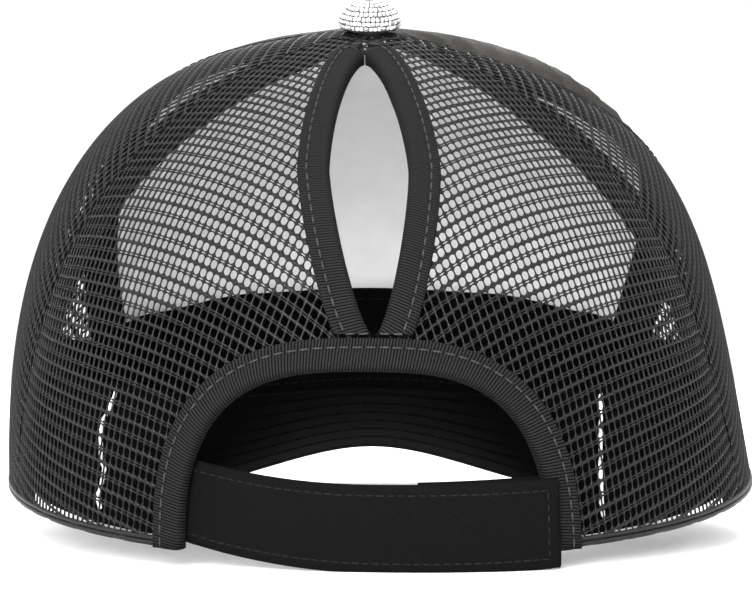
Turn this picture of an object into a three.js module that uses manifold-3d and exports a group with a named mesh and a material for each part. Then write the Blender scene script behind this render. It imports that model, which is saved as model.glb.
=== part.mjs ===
// A cap with a cloth front panel, a net crown, a ponytail slit over a half-moon opening, a closure
// strap and a curved visor. Lengths are in millimetres, with +Z up and the visor towards -Y.
// The pieces are shaped in the frame of the crown's rim, then tipped back as the cap rests on a table:
// on the two sides of its visor and on the closure strap.

import * as THREE from "three";
import { mergeVertices } from "three/addons/utils/BufferGeometryUtils.js";
import Module from "manifold-3d";

const wasm = await Module();
wasm.setup();

// Crown
const crownHalfWidth = 84.7;
const crownHalfLength = 97;
const crownHeight = 103.8;
const planExponent = 2.1;
const sideExponent = 2.5;
const endExponent = 2.2;
const poleSetback = 25;
const poleRise = 2;
const poleRiseReach = 22;
const rimWave = 4.5;
const flare = 5.2;
const flareHeight = 50;
const seamPull = 0.7;
const seamPullReach = 7;
const dentDepth = 2;
const dentReach = 26;

// Walls and clearances
const frontWall = 2;
const netWall = 1.2;
const tapeWall = 1;
const bandWall = 2;
const gap = 0.3;
const facetGap = 0.15;

// Seams, as azimuths in degrees from the front
const frontSeamAtRim = 46;
const frontSeamAtTopLeft = 63;
const frontSeamAtTopRight = 98;
const frontSeamTurnLeft = 1;
const frontSeamTurnRight = 2;
const rearSeam = 117;
const seamTapeWidth = 15;

// Half-moon opening and slit
const archHalfWidth = 36;
const archShift = 1;
const archHeight = 36.2;
const archWidthExponent = 2.9;
const archHeightExponent = 2.6;
const bindingWidth = 6.5;
const slitHalfWidth = 8;
const slitTop = 17.5;
const slitWidest = 0.5;
const slitExponent = 1.42;
const slitLean = 1;

// Sweatband
const bandHeight = 30;
const bandLift = 1;
const bandEndLeft = 153;
const bandEndRight = 154;
const bandEdgeLeft = 140;
const bandEdgeRight = 145.4;
const bandEdgeLean = 3.6;
const bandEdgeWidth = 0.8;
const bandEdgeWall = 0.8;
const bandEdgeFoot = 0.12;
const bandEdgeHead = 0.96;

// Visor
const visorLength = 68;
const visorWall = 3;
const visorSeat = 4.2;
const visorSlope = 0.45;
const visorSag = 0.64;
const visorSagReach = 33;
const visorJoin = 57;
const visorExponent = 2.3;

// Button
const buttonRadius = 7;
const buttonHeight = 6.2;
const buttonStem = 3.2;

// Closure
const strapHeight = 17.5;
const strapWall = 1.5;
const strapMiddle = 5.8;
const strapRiseLeft = 3.2;
const strapTuck = 3.5;
const strapEnd = 35.6;
const tabEnd = 10;
const padWall = 0.8;
const padInset = 2;

// Rest
const flatDepth = 0.45;

// Rim height above the crown's base plane, as a share of rimWave, by azimuth from the front
const rimTable = [
  { azimuth: 0, rise: 1 },
  { azimuth: 20, rise: 0.78 },
  { azimuth: 40, rise: 0 },
  { azimuth: 57, rise: -1 },
  { azimuth: 75, rise: -0.35 },
  { azimuth: 95, rise: 0 },
  { azimuth: 180, rise: 0 },
];

// Soft dents of the net, by azimuth and share of the way up, with depth and reach as shares
const dentTable = [
  { azimuth: -112, climb: 0.62, depth: 1, reach: 1 },
  { azimuth: -140, climb: 0.72, depth: 0.5, reach: 0.7 },
  { azimuth: 128, climb: 0.66, depth: 0.45, reach: 0.8 },
];

const degree = Math.PI / 180;

const black = new THREE.MeshStandardMaterial({ color: 0x17171a, roughness: 0.9, metalness: 0 });
const netBlack = new THREE.MeshStandardMaterial({ color: 0x1c1c1f, roughness: 0.7, metalness: 0 });
const frontBlack = new THREE.MeshStandardMaterial({ color: 0x24221f, roughness: 0.75, metalness: 0 });
const silver = new THREE.MeshStandardMaterial({ color: 0xc4c4c8, roughness: 0.45, metalness: 0.3 });
const white = new THREE.MeshStandardMaterial({ color: 0xf0f0ee, roughness: 0.85, metalness: 0 });

function mix(a, b, share) {
  return a + (b - a) * share;
}

function smooth(share) {
  const s = Math.min(1, Math.max(0, share));
  return s * s * (3 - 2 * s);
}

// Reads a column of a table at a value of its key column, eased between rows.
function readTable(table, key, column, value) {
  let upper = table.findIndex((row) => row[key] >= value);
  if (upper < 0) {
    upper = table.length - 1;
  }
  if (upper === 0) {
    return table[0][column];
  }
  const low = table[upper - 1];
  const high = table[upper];
  return mix(low[column], high[column], smooth((value - low[key]) / (high[key] - low[key])));
}

// Finds where a rising function crosses zero between two values.
function bisect(low, high, rising) {
  let a = low;
  let b = high;
  for (let step = 0; step < 40; step += 1) {
    const middle = (a + b) / 2;
    if (rising(middle) < 0) {
      a = middle;
    } else {
      b = middle;
    }
  }
  return (a + b) / 2;
}

// The crown's plain form is a rounded dome around the origin of the rim's frame.
const poleDirection = new THREE.Vector3(0, poleSetback, crownHeight).normalize();

function planReach(azimuth) {
  const across = Math.abs(Math.sin(azimuth)) / crownHalfWidth;
  const along = Math.abs(Math.cos(azimuth)) / crownHalfLength;
  return (across ** planExponent + along ** planExponent) ** (-1 / planExponent);
}

// How far out a point is, as a share of the way to the dome: 1 on the dome itself.
function domeShare(point) {
  const azimuth = Math.atan2(point.x, -point.y);
  const exponent = mix(endExponent, sideExponent, Math.sin(azimuth) ** 2);
  const out = Math.hypot(point.x, point.y) / planReach(azimuth);
  const up = Math.abs(point.z) / crownHeight;
  return (out ** exponent + up ** exponent) ** (1 / exponent);
}

function snap(point) {
  return point.clone().divideScalar(domeShare(point));
}

function domeNormal(point) {
  const step = 0.05;
  const normal = new THREE.Vector3();
  for (const axis of ["x", "y", "z"]) {
    const ahead = point.clone();
    const behind = point.clone();
    ahead[axis] += step;
    behind[axis] -= step;
    normal[axis] = domeShare(ahead) - domeShare(behind);
  }
  return normal.normalize();
}

// A point of the dome by its azimuth in degrees and its climb from the base plane, 0, to the pole, 1.
function domePoint(azimuth, climb) {
  const foot = new THREE.Vector3(Math.sin(azimuth * degree), -Math.cos(azimuth * degree), 0);
  const arc = foot.angleTo(poleDirection);
  const direction = foot.multiplyScalar(Math.sin((1 - climb) * arc));
  direction.addScaledVector(poleDirection, Math.sin(climb * arc));
  return snap(direction);
}

const pole = domePoint(0, 1);

// The azimuth and climb of a point of the dome.
function station(point) {
  const rise = point.z / poleDirection.z;
  const foot = point.clone().addScaledVector(poleDirection, -rise);
  const azimuth = Math.atan2(foot.x, -foot.y) / degree;
  const share = rise / Math.max(foot.length(), 1e-9);
  const arc = foot.angleTo(poleDirection);
  const climb = Math.atan2(share * Math.sin(arc), 1 + share * Math.cos(arc)) / arc;
  return { azimuth, climb };
}

// The front seams, which end further back at the top on the right, side -1, than on the left, side 1.
function frontSeam(side, climb) {
  const top = side > 0 ? frontSeamAtTopLeft : frontSeamAtTopRight;
  const turn = side > 0 ? frontSeamTurnLeft : frontSeamTurnRight;
  const rise = Math.sin(Math.min(1, Math.max(0, climb)) * 90 * degree);
  return mix(frontSeamAtRim, top, rise ** turn);
}

const dents = dentTable.map((row) => ({
  centre: domePoint(row.azimuth, row.climb),
  depth: row.depth * dentDepth,
  reach: row.reach * dentReach,
}));

// Moves a point off the dome by a depth along its normal, then gives the crown its worn shape.
function lift(point, offset) {
  const normal = domeNormal(point);
  const place = point.clone().addScaledVector(normal, offset);
  if (point.x < 0) {
    const low = 1 - Math.min(1, Math.max(0, point.z / flareHeight));
    place.x -= flare * (point.x / crownHalfWidth) ** 2 * low ** 2;
  }
  const away = point.distanceTo(pole);
  place.z += poleRise * Math.exp(-((away / poleRiseReach) ** 2));
  let inward = 0;
  for (const dent of dents) {
    inward += dent.depth * Math.exp(-((point.distanceTo(dent.centre) / dent.reach) ** 2));
  }
  const { azimuth, climb } = station(point);
  for (const seam of [frontSeam(Math.sign(point.x) || 1, climb), rearSeam]) {
    const across = (Math.abs(azimuth) - seam) * degree * away;
    const fade = smooth(climb * 3) * smooth(away / poleRiseReach);
    inward += seamPull * Math.exp(-((across / seamPullReach) ** 2)) * fade;
  }
  return place.addScaledVector(normal, -inward);
}

function rimHeight(azimuth) {
  return rimWave * readTable(rimTable, "azimuth", "rise", Math.abs(azimuth));
}

// The climb at which a line of one azimuth passes a height.
function climbAtHeight(azimuth, height) {
  return bisect(-0.2, 0.6, (climb) => domePoint(azimuth, climb).z - height);
}

// The climb at which a line of one azimuth is a distance short of the pole.
function climbNearPole(azimuth, distance) {
  return bisect(0.5, 1, (climb) => distance - domePoint(azimuth, climb).distanceTo(pole));
}

// A point at the back of the dome by its distance to the side and its height.
function rearPoint(x, z) {
  const y = bisect(0, 2 * crownHalfLength, (reach) => domeShare(new THREE.Vector3(x, reach, z)) - 1);
  return new THREE.Vector3(x, y, z);
}

// A closed mesh from points and faces, turned so that its faces point out.
function closedGeometry(points, faces) {
  let volume = 0;
  for (const [a, b, c] of faces) {
    volume += points[a].dot(points[b].clone().cross(points[c]));
  }
  const geometry = new THREE.BufferGeometry();
  geometry.setAttribute("position", new THREE.Float32BufferAttribute(points.flatMap((p) => [p.x, p.y, p.z]), 3));
  geometry.setIndex(faces.flatMap(([a, b, c]) => (volume > 0 ? [a, b, c] : [a, c, b])));
  return geometry;
}

// A curved sheet with two faces: pointAt(row share, column share, side) has side 0 outside and 1 inside.
function sheetGeometry(rows, columns, pointAt) {
  const points = [];
  for (let side = 0; side < 2; side += 1) {
    for (let i = 0; i <= rows; i += 1) {
      for (let j = 0; j <= columns; j += 1) {
        points.push(pointAt(i / rows, j / columns, side));
      }
    }
  }
  const index = (side, i, j) => (side * (rows + 1) + i) * (columns + 1) + j;
  const faces = [];
  const quad = (a, b, c, d) => faces.push([a, b, c], [a, c, d]);
  for (let i = 0; i < rows; i += 1) {
    for (let j = 0; j < columns; j += 1) {
      quad(index(0, i, j), index(0, i, j + 1), index(0, i + 1, j + 1), index(0, i + 1, j));
      quad(index(1, i, j), index(1, i + 1, j), index(1, i + 1, j + 1), index(1, i, j + 1));
    }
  }
  for (let i = 0; i < rows; i += 1) {
    quad(index(0, i, 0), index(0, i + 1, 0), index(1, i + 1, 0), index(1, i, 0));
    quad(index(0, i, columns), index(1, i, columns), index(1, i + 1, columns), index(0, i + 1, columns));
  }
  for (let j = 0; j < columns; j += 1) {
    quad(index(0, 0, j), index(1, 0, j), index(1, 0, j + 1), index(0, 0, j + 1));
    quad(index(0, rows, j), index(0, rows, j + 1), index(1, rows, j + 1), index(1, rows, j));
  }
  return closedGeometry(points, faces);
}

// A closed section, given as width and depth pairs, swept through steps by placeAt(share, width, depth).
function sweptGeometry(steps, section, placeAt) {
  const count = section.length;
  const points = [];
  for (let i = 0; i <= steps; i += 1) {
    for (const [width, depth] of section) {
      points.push(placeAt(i / steps, width, depth));
    }
  }
  const faces = [];
  for (let i = 0; i < steps; i += 1) {
    for (let k = 0; k < count; k += 1) {
      const next = (k + 1) % count;
      const a = i * count + k;
      const b = i * count + next;
      faces.push([a, b, b + count], [a, b + count, a + count]);
    }
  }
  const outline = section.map(([width, depth]) => new THREE.Vector2(width, depth));
  const last = steps * count;
  const backwards = THREE.ShapeUtils.isClockWise(outline);
  for (const [a, b, c] of THREE.ShapeUtils.triangulateShape(outline, [])) {
    const [p, q] = backwards ? [c, a] : [a, c];
    faces.push([q, b, p], [last + p, last + b, last + q]);
  }
  return closedGeometry(points, faces);
}

// Exact cutting of closed meshes.
function toSolid(geometry) {
  const bare = geometry.clone();
  bare.deleteAttribute("normal");
  bare.deleteAttribute("uv");
  const merged = mergeVertices(bare);
  return new wasm.Manifold(
    new wasm.Mesh({
      numProp: 3,
      vertProperties: new Float32Array(merged.attributes.position.array),
      triVerts: new Uint32Array(merged.index.array),
    }),
  );
}

function toGeometry(solid) {
  const mesh = solid.getMesh();
  const geometry = new THREE.BufferGeometry();
  geometry.setAttribute("position", new THREE.BufferAttribute(new Float32Array(mesh.vertProperties), 3));
  geometry.setIndex(new THREE.BufferAttribute(new Uint32Array(mesh.triVerts), 1));
  return geometry;
}

function subtract(geometry, cutter) {
  return toGeometry(toSolid(geometry).subtract(toSolid(cutter)));
}

// Crown panels: rows climb from the rim to the hole around the button's stem.
const panelRows = 18;
const stemHole = buttonStem + gap + facetGap;

// Turns half a seam gap into degrees of azimuth at a point of the dome.
function seamMargin(azimuth, climb) {
  const step = 0.5;
  const spread = domePoint(azimuth + step, climb).distanceTo(domePoint(azimuth - step, climb));
  return (gap / 2) * ((2 * step) / spread);
}

function climbAlong(azimuth, share) {
  return mix(climbAtHeight(azimuth, rimHeight(azimuth)), climbNearPole(azimuth, stemHole), share);
}

function panelGeometry(side, columns, wall, startAt, endAt) {
  return sheetGeometry(panelRows, columns, (rowShare, columnShare, face) => {
    const start = startAt(rowShare);
    const end = endAt(rowShare);
    const first = start + seamMargin(start, climbAlong(start, rowShare));
    const final = end - seamMargin(end, climbAlong(end, rowShare));
    const azimuth = mix(first, final, columnShare);
    return lift(domePoint(side * azimuth, climbAlong(azimuth, rowShare)), -wall * face);
  });
}

// A point of the dome beside a path, at a width square to the path. The opening is on its other side.
function beside(pathAt, share, width) {
  const step = 0.002;
  const point = pathAt(share);
  const ahead = pathAt(Math.min(1, share + step));
  const behind = pathAt(Math.max(0, share - step));
  const across = ahead.sub(behind).cross(domeNormal(point)).normalize();
  return snap(point.addScaledVector(across, width));
}

// The half-moon's edge, from its right foot over the top to its left foot.
function archPath(share) {
  const turn = share * 180 * degree;
  const across = -Math.cos(turn);
  const x = archShift + archHalfWidth * Math.sign(across) * Math.abs(across) ** (2 / archWidthExponent);
  const z = archHeight * Math.sin(turn) ** (2 / archHeightExponent);
  return rearPoint(x, z);
}

// The slit: its edges lie either side of a middle line, which leans from one side of the back to the other.
const slitStart = climbAtHeight(180, archHeight + bindingWidth);
const slitEnd = climbNearPole(180, slitTop);

// An edge of the slit: down its left side, side 1, or up its right side, side -1.
function slitPath(side) {
  return (share) => {
    const turn = side * (1 - 2 * share) * 90 * degree;
    const reach = turn > 0 ? 1 - slitWidest : slitWidest;
    const along = slitWidest + reach * Math.sign(turn) * Math.abs(Math.sin(turn)) ** (2 / slitExponent);
    const open = gap / 2 + slitHalfWidth * Math.max(0, Math.cos(turn)) ** (2 / slitExponent);
    const edge = open + side * slitLean * (2 * along - 1);
    const climb = mix(slitStart, slitEnd, along);
    const azimuth = bisect(120, 200, (angle) => edge - domePoint(angle, climb).x);
    return domePoint(side * azimuth, climb);
  };
}

// A block through the back of the crown, with an outline given as points of the dome.
function rearCutter(points) {
  const outline = new THREE.Shape(points.map((point) => new THREE.Vector2(point.x, point.z)));
  const depth = 2 * crownHalfLength;
  const cutter = new THREE.ExtrudeGeometry(outline, { depth, bevelEnabled: false, curveSegments: 1 });
  cutter.rotateX(90 * degree);
  cutter.translate(0, depth, 0);
  return cutter;
}

function pathLine(pathAt, steps, width, depth) {
  return Array.from({ length: steps + 1 }, (_, i) => lift(beside(pathAt, i / steps, width), depth));
}

const archSteps = 36;
const slitSteps = 22;

function archCutter(width, depth) {
  const edge = pathLine(archPath, archSteps, width, depth);
  const below = edge.map((point) => point.clone());
  const feet = [below[archSteps], below[0]];
  for (const foot of feet) {
    foot.z = -crownHeight;
  }
  return rearCutter([...edge, ...feet]);
}

function slitCutter(width) {
  const edges = [1, -1].map((side) => pathLine(slitPath(side), slitSteps, width, 0));
  return rearCutter(edges.flat());
}

// Each binding is folded over its edge: an outer leg, a web and an inner leg, by width and depth.
const webWall = 0.6;
const bindingSeat = webWall + gap;
const outerLeg = gap + tapeWall;
const innerLeg = -(netWall + gap + tapeWall);
const bindingSection = [
  [0, outerLeg],
  [bindingWidth, outerLeg],
  [bindingWidth, gap],
  [webWall, gap],
  [webWall, -(netWall + gap)],
  [bindingWidth, -(netWall + gap)],
  [bindingWidth, innerLeg],
  [0, innerLeg],
];

function bindingGeometry(steps, pathAt) {
  return sweptGeometry(steps, bindingSection, (share, width, depth) => lift(beside(pathAt, share, width), depth));
}

function rearNet(side) {
  const net = panelGeometry(side, 14, netWall, () => rearSeam, () => 180);
  return subtract(subtract(net, archCutter(bindingSeat, 0)), slitCutter(bindingSeat));
}

function slitBinding(side) {
  return subtract(bindingGeometry(slitSteps, slitPath(side)), archCutter(bindingWidth + gap, outerLeg));
}

// Tapes over the seams, mitred where they meet around the stem.
function seamTape(side, seamAt, depth) {
  const mitreAngle = ((rearSeam - frontSeam(side, 1)) / 2) * degree;
  const start = climbAtHeight(seamAt(0), rimHeight(seamAt(0)) + bandLift);
  const end = climbNearPole(seamAt(1), stemHole + 2 * gap);
  const pathAt = (share) => {
    const climb = mix(start, end, share);
    return domePoint(side * seamAt(climb), climb);
  };
  return sheetGeometry(16, 2, (rowShare, columnShare, face) => {
    const step = 0.01;
    const point = pathAt(rowShare);
    const along = pathAt(Math.min(1, rowShare + step)).sub(pathAt(Math.max(0, rowShare - step)));
    const across = along.cross(domeNormal(point)).normalize();
    const room = point.distanceTo(pole) * Math.sin(mitreAngle) - gap;
    const half = Math.min(seamTapeWidth / 2, room);
    const place = snap(point.addScaledVector(across, mix(-half, half, columnShare)));
    return lift(place, -(depth + gap + facetGap + tapeWall * face));
  });
}

// Sweatband, inside the seam tapes.
const bandDepth = frontWall + tapeWall + 2 * gap + 2 * facetGap;

function bandPoint(azimuth, heightShare, face) {
  const height = rimHeight(azimuth) + bandLift + bandHeight * heightShare;
  return lift(domePoint(azimuth, climbAtHeight(azimuth, height)), -(bandDepth + bandWall * face));
}

function bandGeometry(from, to, columns) {
  return sheetGeometry(2, columns, (rowShare, columnShare, face) =>
    bandPoint(mix(from, to, columnShare), rowShare, face),
  );
}

// The white edges that the sweatband shows near its two ends, on its outer side.
const bandRadius = pole.y + crownHalfLength * 0.8;
const edgeTurn = bandEdgeWidth / bandRadius / degree;

function bandEdge(side, azimuth, lean) {
  return sheetGeometry(5, 1, (rowShare, columnShare, face) => {
    const place = azimuth + lean * (1 - rowShare ** 1.5) + edgeTurn * columnShare;
    const height = rimHeight(place) + bandLift + bandHeight * mix(bandEdgeFoot, bandEdgeHead, rowShare);
    const depth = bandDepth - gap - bandEdgeWall * (1 - face);
    return lift(domePoint(side * place, climbAtHeight(place, height)), -depth);
  });
}

// Visor: a curved plate from the crown's front to its own outline, sagging to both sides.
function visorLevel(x, y) {
  const out = -y - crownHalfLength;
  return rimWave + visorSeat - visorSlope * out - visorSag * (Math.hypot(x, visorSagReach) - visorSagReach);
}

function visorGeometry() {
  const corner = domePoint(visorJoin, climbAtHeight(visorJoin, 0));
  const halfWidth = corner.x + flare / 2;
  const reach = crownHalfLength + visorLength + corner.y;
  const endAngle = 89;
  return sheetGeometry(32, 7, (acrossShare, outShare, face) => {
    const across = mix(-1, 1, acrossShare);
    const azimuth = across * visorJoin;
    const height = rimHeight(azimuth) + visorSeat - visorWall * face;
    const inner = lift(domePoint(azimuth, climbAtHeight(azimuth, height)), gap);
    const turn = across * endAngle * degree;
    const x = halfWidth * Math.sign(turn) * Math.abs(Math.sin(turn)) ** (2 / visorExponent);
    const y = corner.y - reach * Math.cos(turn) ** (2 / visorExponent);
    const place = new THREE.Vector3(mix(inner.x, x, outShare), mix(inner.y, y, outShare), 0);
    const seat = inner.z + visorWall * face - visorLevel(inner.x, inner.y);
    place.z = visorLevel(place.x, place.y) + seat * (1 - outShare) ** 2 - visorWall * face;
    return place;
  });
}

// Button: a covered dome on a stem through the middle of the crown.
function buttonGeometry() {
  const base = gap + facetGap;
  const profile = [
    [0, -frontWall],
    [buttonStem, -frontWall],
    [buttonStem, base],
    [buttonRadius * 0.9, base],
    [buttonRadius, base + buttonHeight * 0.12],
    [buttonRadius, base + buttonHeight * 0.3],
    [buttonRadius * 0.92, base + buttonHeight * 0.58],
    [buttonRadius * 0.7, base + buttonHeight * 0.82],
    [buttonRadius * 0.38, base + buttonHeight * 0.96],
    [0, base + buttonHeight],
  ];
  const points = profile.map(([radius, height]) => new THREE.Vector2(radius, height));
  const geometry = new THREE.LatheGeometry(points, 16);
  const turn = new THREE.Quaternion().setFromUnitVectors(new THREE.Vector3(0, 1, 0), domeNormal(pole));
  geometry.applyQuaternion(turn);
  const seat = lift(pole, 0);
  geometry.translate(seat.x, seat.y, seat.z);
  return geometry;
}

// Closure: the strap starts inside the left foot of the half-moon and ends outside its right foot.
const insideLevel = -(netWall + 2 * gap + facetGap + tapeWall + strapWall / 2);
const outsideLevel = 2 * gap + tapeWall + strapWall / 2;

function strapLevel(x) {
  return mix(insideLevel, outsideLevel, smooth((archShift + archHalfWidth - x) / (2 * archHalfWidth)));
}

function strapHeightAt(x) {
  return strapMiddle + (x > 0 ? strapRiseLeft : 0) * (x / archHalfWidth) ** 2;
}

function stripGeometry(fromX, toX, columns, height, levelAt, wall) {
  return sheetGeometry(2, columns, (rowShare, columnShare, face) => {
    const x = mix(fromX, toX, columnShare);
    const z = strapHeightAt(x) + height * (rowShare - 0.5);
    return lift(rearPoint(x, z), levelAt(x) + wall * (0.5 - face));
  });
}

const strapStart = archHalfWidth + archShift + strapTuck;
const tabStart = archHalfWidth - archShift + strapTuck;
const tabLevel = () => insideLevel;
const hookLevel = (x) => strapLevel(x) - strapWall / 2 - gap - padWall / 2;
const loopLevel = () => insideLevel + strapWall / 2 + gap + padWall / 2;
const padStart = tabEnd + padInset;
const padEnd = archHalfWidth - archShift - 2 * padInset;
const padHeight = strapHeight - 2 * padInset;

const pieces = {
  front_panel: [
    panelGeometry(1, 26, frontWall, (share) => -frontSeam(-1, share), (share) => frontSeam(1, share)),
    frontBlack,
  ],
  side_net_left: [panelGeometry(1, 12, netWall, (share) => frontSeam(1, share), () => rearSeam), netBlack],
  side_net_right: [panelGeometry(-1, 12, netWall, (share) => frontSeam(-1, share), () => rearSeam), netBlack],
  rear_net_left: [rearNet(1), netBlack],
  rear_net_right: [rearNet(-1), netBlack],
  front_tape_left: [seamTape(1, (climb) => frontSeam(1, climb), frontWall), black],
  front_tape_right: [seamTape(-1, (climb) => frontSeam(-1, climb), frontWall), black],
  rear_tape_left: [seamTape(1, () => rearSeam, netWall), black],
  rear_tape_right: [seamTape(-1, () => rearSeam, netWall), black],
  slit_binding_left: [slitBinding(1), black],
  slit_binding_right: [slitBinding(-1), black],
  arch_binding: [bindingGeometry(archSteps, archPath), black],
  sweatband: [bandGeometry(-bandEndRight, bandEndLeft, 42), black],
  sweatband_end_left: [bandEdge(1, bandEdgeLeft, 0), white],
  sweatband_end_right: [bandEdge(-1, bandEdgeRight, bandEdgeLean), white],
  visor: [visorGeometry(), black],
  button: [buttonGeometry(), silver],
  closure_strap: [stripGeometry(strapStart, -strapEnd, 26, strapHeight, strapLevel, strapWall), black],
  closure_tab: [stripGeometry(-tabStart, -tabEnd, 12, strapHeight, tabLevel, strapWall), black],
  hook_pad: [stripGeometry(-padStart, -padEnd, 8, padHeight, hookLevel, padWall), black],
  loop_pad: [stripGeometry(-padStart, -padEnd, 8, padHeight, loopLevel, padWall), black],
};

// The cap tips back until its visor and its closure touch the table together.
function lowest(geometry, tilt) {
  const position = geometry.attributes.position;
  let low = Infinity;
  for (let i = 0; i < position.count; i += 1) {
    low = Math.min(low, position.getZ(i) * Math.cos(tilt) - position.getY(i) * Math.sin(tilt));
  }
  return low;
}

const visorShape = pieces.visor[0];
const strapShape = pieces.closure_strap[0];
const restTilt = bisect(0, 30 * degree, (tilt) => lowest(visorShape, tilt) - lowest(strapShape, tilt));
const table = lowest(strapShape, restTilt) + flatDepth;

// What would reach below the table is pressed flat on it.
const tableSize = 4 * crownHalfLength;
const tableBlock = new THREE.BoxGeometry(tableSize, tableSize, tableSize);
tableBlock.translate(0, 0, table - tableSize / 2);
tableBlock.rotateX(restTilt);
for (const piece of Object.values(pieces)) {
  if (lowest(piece[0], restTilt) < table) {
    piece[0] = subtract(piece[0], tableBlock);
  }
}

const cap = new THREE.Group();
cap.rotation.x = -restTilt;
for (const [name, [geometry, material]] of Object.entries(pieces)) {
  const mesh = new THREE.Mesh(geometry, material);
  mesh.name = name;
  cap.add(mesh);
}

// The origin is under the middle of the cap, on the table.
const group = new THREE.Group();
group.add(cap);
group.updateMatrixWorld(true);
const box = new THREE.Box3().setFromObject(group, true);
cap.position.set(-(box.min.x + box.max.x) / 2, -(box.min.y + box.max.y) / 2, -box.min.z);

export default group;
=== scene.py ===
import math

import bpy
import numpy as np
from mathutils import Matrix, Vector


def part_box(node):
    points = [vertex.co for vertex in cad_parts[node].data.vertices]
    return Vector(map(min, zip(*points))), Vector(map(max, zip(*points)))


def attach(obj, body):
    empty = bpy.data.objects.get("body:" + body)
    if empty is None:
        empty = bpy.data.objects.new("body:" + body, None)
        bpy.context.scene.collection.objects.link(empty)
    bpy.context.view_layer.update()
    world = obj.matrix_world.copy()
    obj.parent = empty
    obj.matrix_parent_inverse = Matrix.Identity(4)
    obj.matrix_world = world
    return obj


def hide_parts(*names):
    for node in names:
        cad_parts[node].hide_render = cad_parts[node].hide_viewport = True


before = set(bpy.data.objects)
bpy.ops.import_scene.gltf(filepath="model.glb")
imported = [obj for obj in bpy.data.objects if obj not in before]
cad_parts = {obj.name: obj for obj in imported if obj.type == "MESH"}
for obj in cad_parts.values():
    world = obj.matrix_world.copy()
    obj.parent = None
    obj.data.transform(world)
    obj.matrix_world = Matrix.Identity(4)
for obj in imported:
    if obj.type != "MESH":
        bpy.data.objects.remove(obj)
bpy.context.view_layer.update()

# The cap's pieces are shaped in millimetres in the frame of the crown's rim, with the visor towards -Y.
# settle() then tips them back to the rest on the table and turns them into metres.

# Crown
CROWN_HALF_WIDTH = 84.7
CROWN_HALF_LENGTH = 97.0
CROWN_HEIGHT = 103.8
PLAN_EXPONENT = 2.1
SIDE_EXPONENT = 2.5
END_EXPONENT = 2.2
POLE_SETBACK = 25.0
POLE_RISE = 2.0
POLE_RISE_REACH = 22.0
RIM_WAVE = 4.5
FLARE = 5.2
FLARE_HEIGHT = 50.0
SEAM_PULL = 0.7
SEAM_PULL_REACH = 7.0
DENT_DEPTH = 2.0
DENT_REACH = 26.0

# Walls and clearances
FRONT_WALL = 2.0
NET_WALL = 1.2
TAPE_WALL = 1.0
BAND_WALL = 2.0
GAP = 0.3
FACET_GAP = 0.15

# Seams, as azimuths in degrees from the front
FRONT_SEAM_AT_RIM = 46.0
FRONT_SEAM_AT_TOP_LEFT = 63.0
FRONT_SEAM_AT_TOP_RIGHT = 98.0
FRONT_SEAM_TURN_LEFT = 1.0
FRONT_SEAM_TURN_RIGHT = 2.0
REAR_SEAM = 117.0
SEAM_TAPE_WIDTH = 15.0

# Half-moon opening and slit
ARCH_HALF_WIDTH = 36.0
ARCH_SHIFT = 1.0
ARCH_HEIGHT = 36.2
ARCH_WIDTH_EXPONENT = 2.9
ARCH_HEIGHT_EXPONENT = 2.6
BINDING_WIDTH = 6.5
SLIT_HALF_WIDTH = 8.0
SLIT_TOP = 17.5
SLIT_WIDEST = 0.5
SLIT_EXPONENT = 1.42
SLIT_LEAN = 1.0
SLIT_EDGE_GAP = 0.05
BINDING_STITCH = 4.5
WEB_WALL = 0.6

# Softness of the cloth
FRONT_SWELL = 0.35
FRONT_CRUMPLE = 0.15
FRONT_SINK = 0.4
PUCKER = 0.35
TAPE_PUFF = 0.12
BINDING_WAVE = 0.1
BAND_PUFF = 0.25
EDGE_ROUGHNESS = 0.08

# Sweatband
BAND_HEIGHT = 30.0
BAND_LIFT = 1.0
BAND_END_LEFT = 153.0
BAND_END_RIGHT = 154.0
BAND_EDGE_LEFT = 140.0
BAND_EDGE_RIGHT = 145.4
BAND_EDGE_LEAN = 3.6
BAND_EDGE_WIDTH = 0.8
BAND_EDGE_WALL = 0.8
BAND_EDGE_FOOT = 0.12
BAND_EDGE_HEAD = 0.96

# Visor
VISOR_LENGTH = 68.0
VISOR_WALL = 3.0
VISOR_SEAT = 4.2
VISOR_SLOPE = 0.45
VISOR_SAG = 0.64
VISOR_SAG_REACH = 33.0
VISOR_JOIN = 57.0
VISOR_EXPONENT = 2.3
VISOR_STITCH_ROWS = 7
VISOR_STITCH_FROM = 0.14
VISOR_STITCH_TO = 0.93
VISOR_HEM = 0.965
VISOR_GROOVE = 0.22
VISOR_GROOVE_REACH = 0.006
VISOR_STITCH_DEPTH = 0.14

# Button
BUTTON_RADIUS = 7.0
BUTTON_HEIGHT = 6.2
BUTTON_STEM = 3.2
BUTTON_RINGS = 7
BUTTON_CELL = 1.05
BUTTON_CELL_RISE = 0.26
BUTTON_CELL_SINK = 0.14
BUTTON_WRAP = 0.62
BUTTON_PLEATS = 12

# Closure
STRAP_HEIGHT = 17.5
STRAP_WALL = 1.5
STRAP_MIDDLE = 5.8
STRAP_RISE_LEFT = 3.2
STRAP_TUCK = 3.5
STRAP_END = 35.6
TAB_END = 10.0
PAD_WALL = 0.8
PAD_INSET = 2.0
FIBRE_RADIUS = 0.09
HOOK_LENGTH = 0.7
HOOK_COUNT = 260
LOOP_LENGTH = 0.8
LOOP_COUNT = 420

# Net: columns of holes run along a panel's grain, and rows of bars cross them
NET_COLUMN = 1.7
NET_ROW = 2.55
NET_YARN = 0.36
NET_BAR = 0.62
NET_SPLIT = 0.5
NET_SPLIT_BAR = 0.11
NET_THIN_BAR = 0.13
NET_ROUND = 0.2
NET_SINK = 0.4
NET_HALF_WALL = 0.26
NET_MAP_STEP = 1.5
NET_MAP_STEPS = 60
NET_RIM_FOLD = 0.5
SIDE_GRAIN = 86.0
REAR_GRAIN = 148.5

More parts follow.
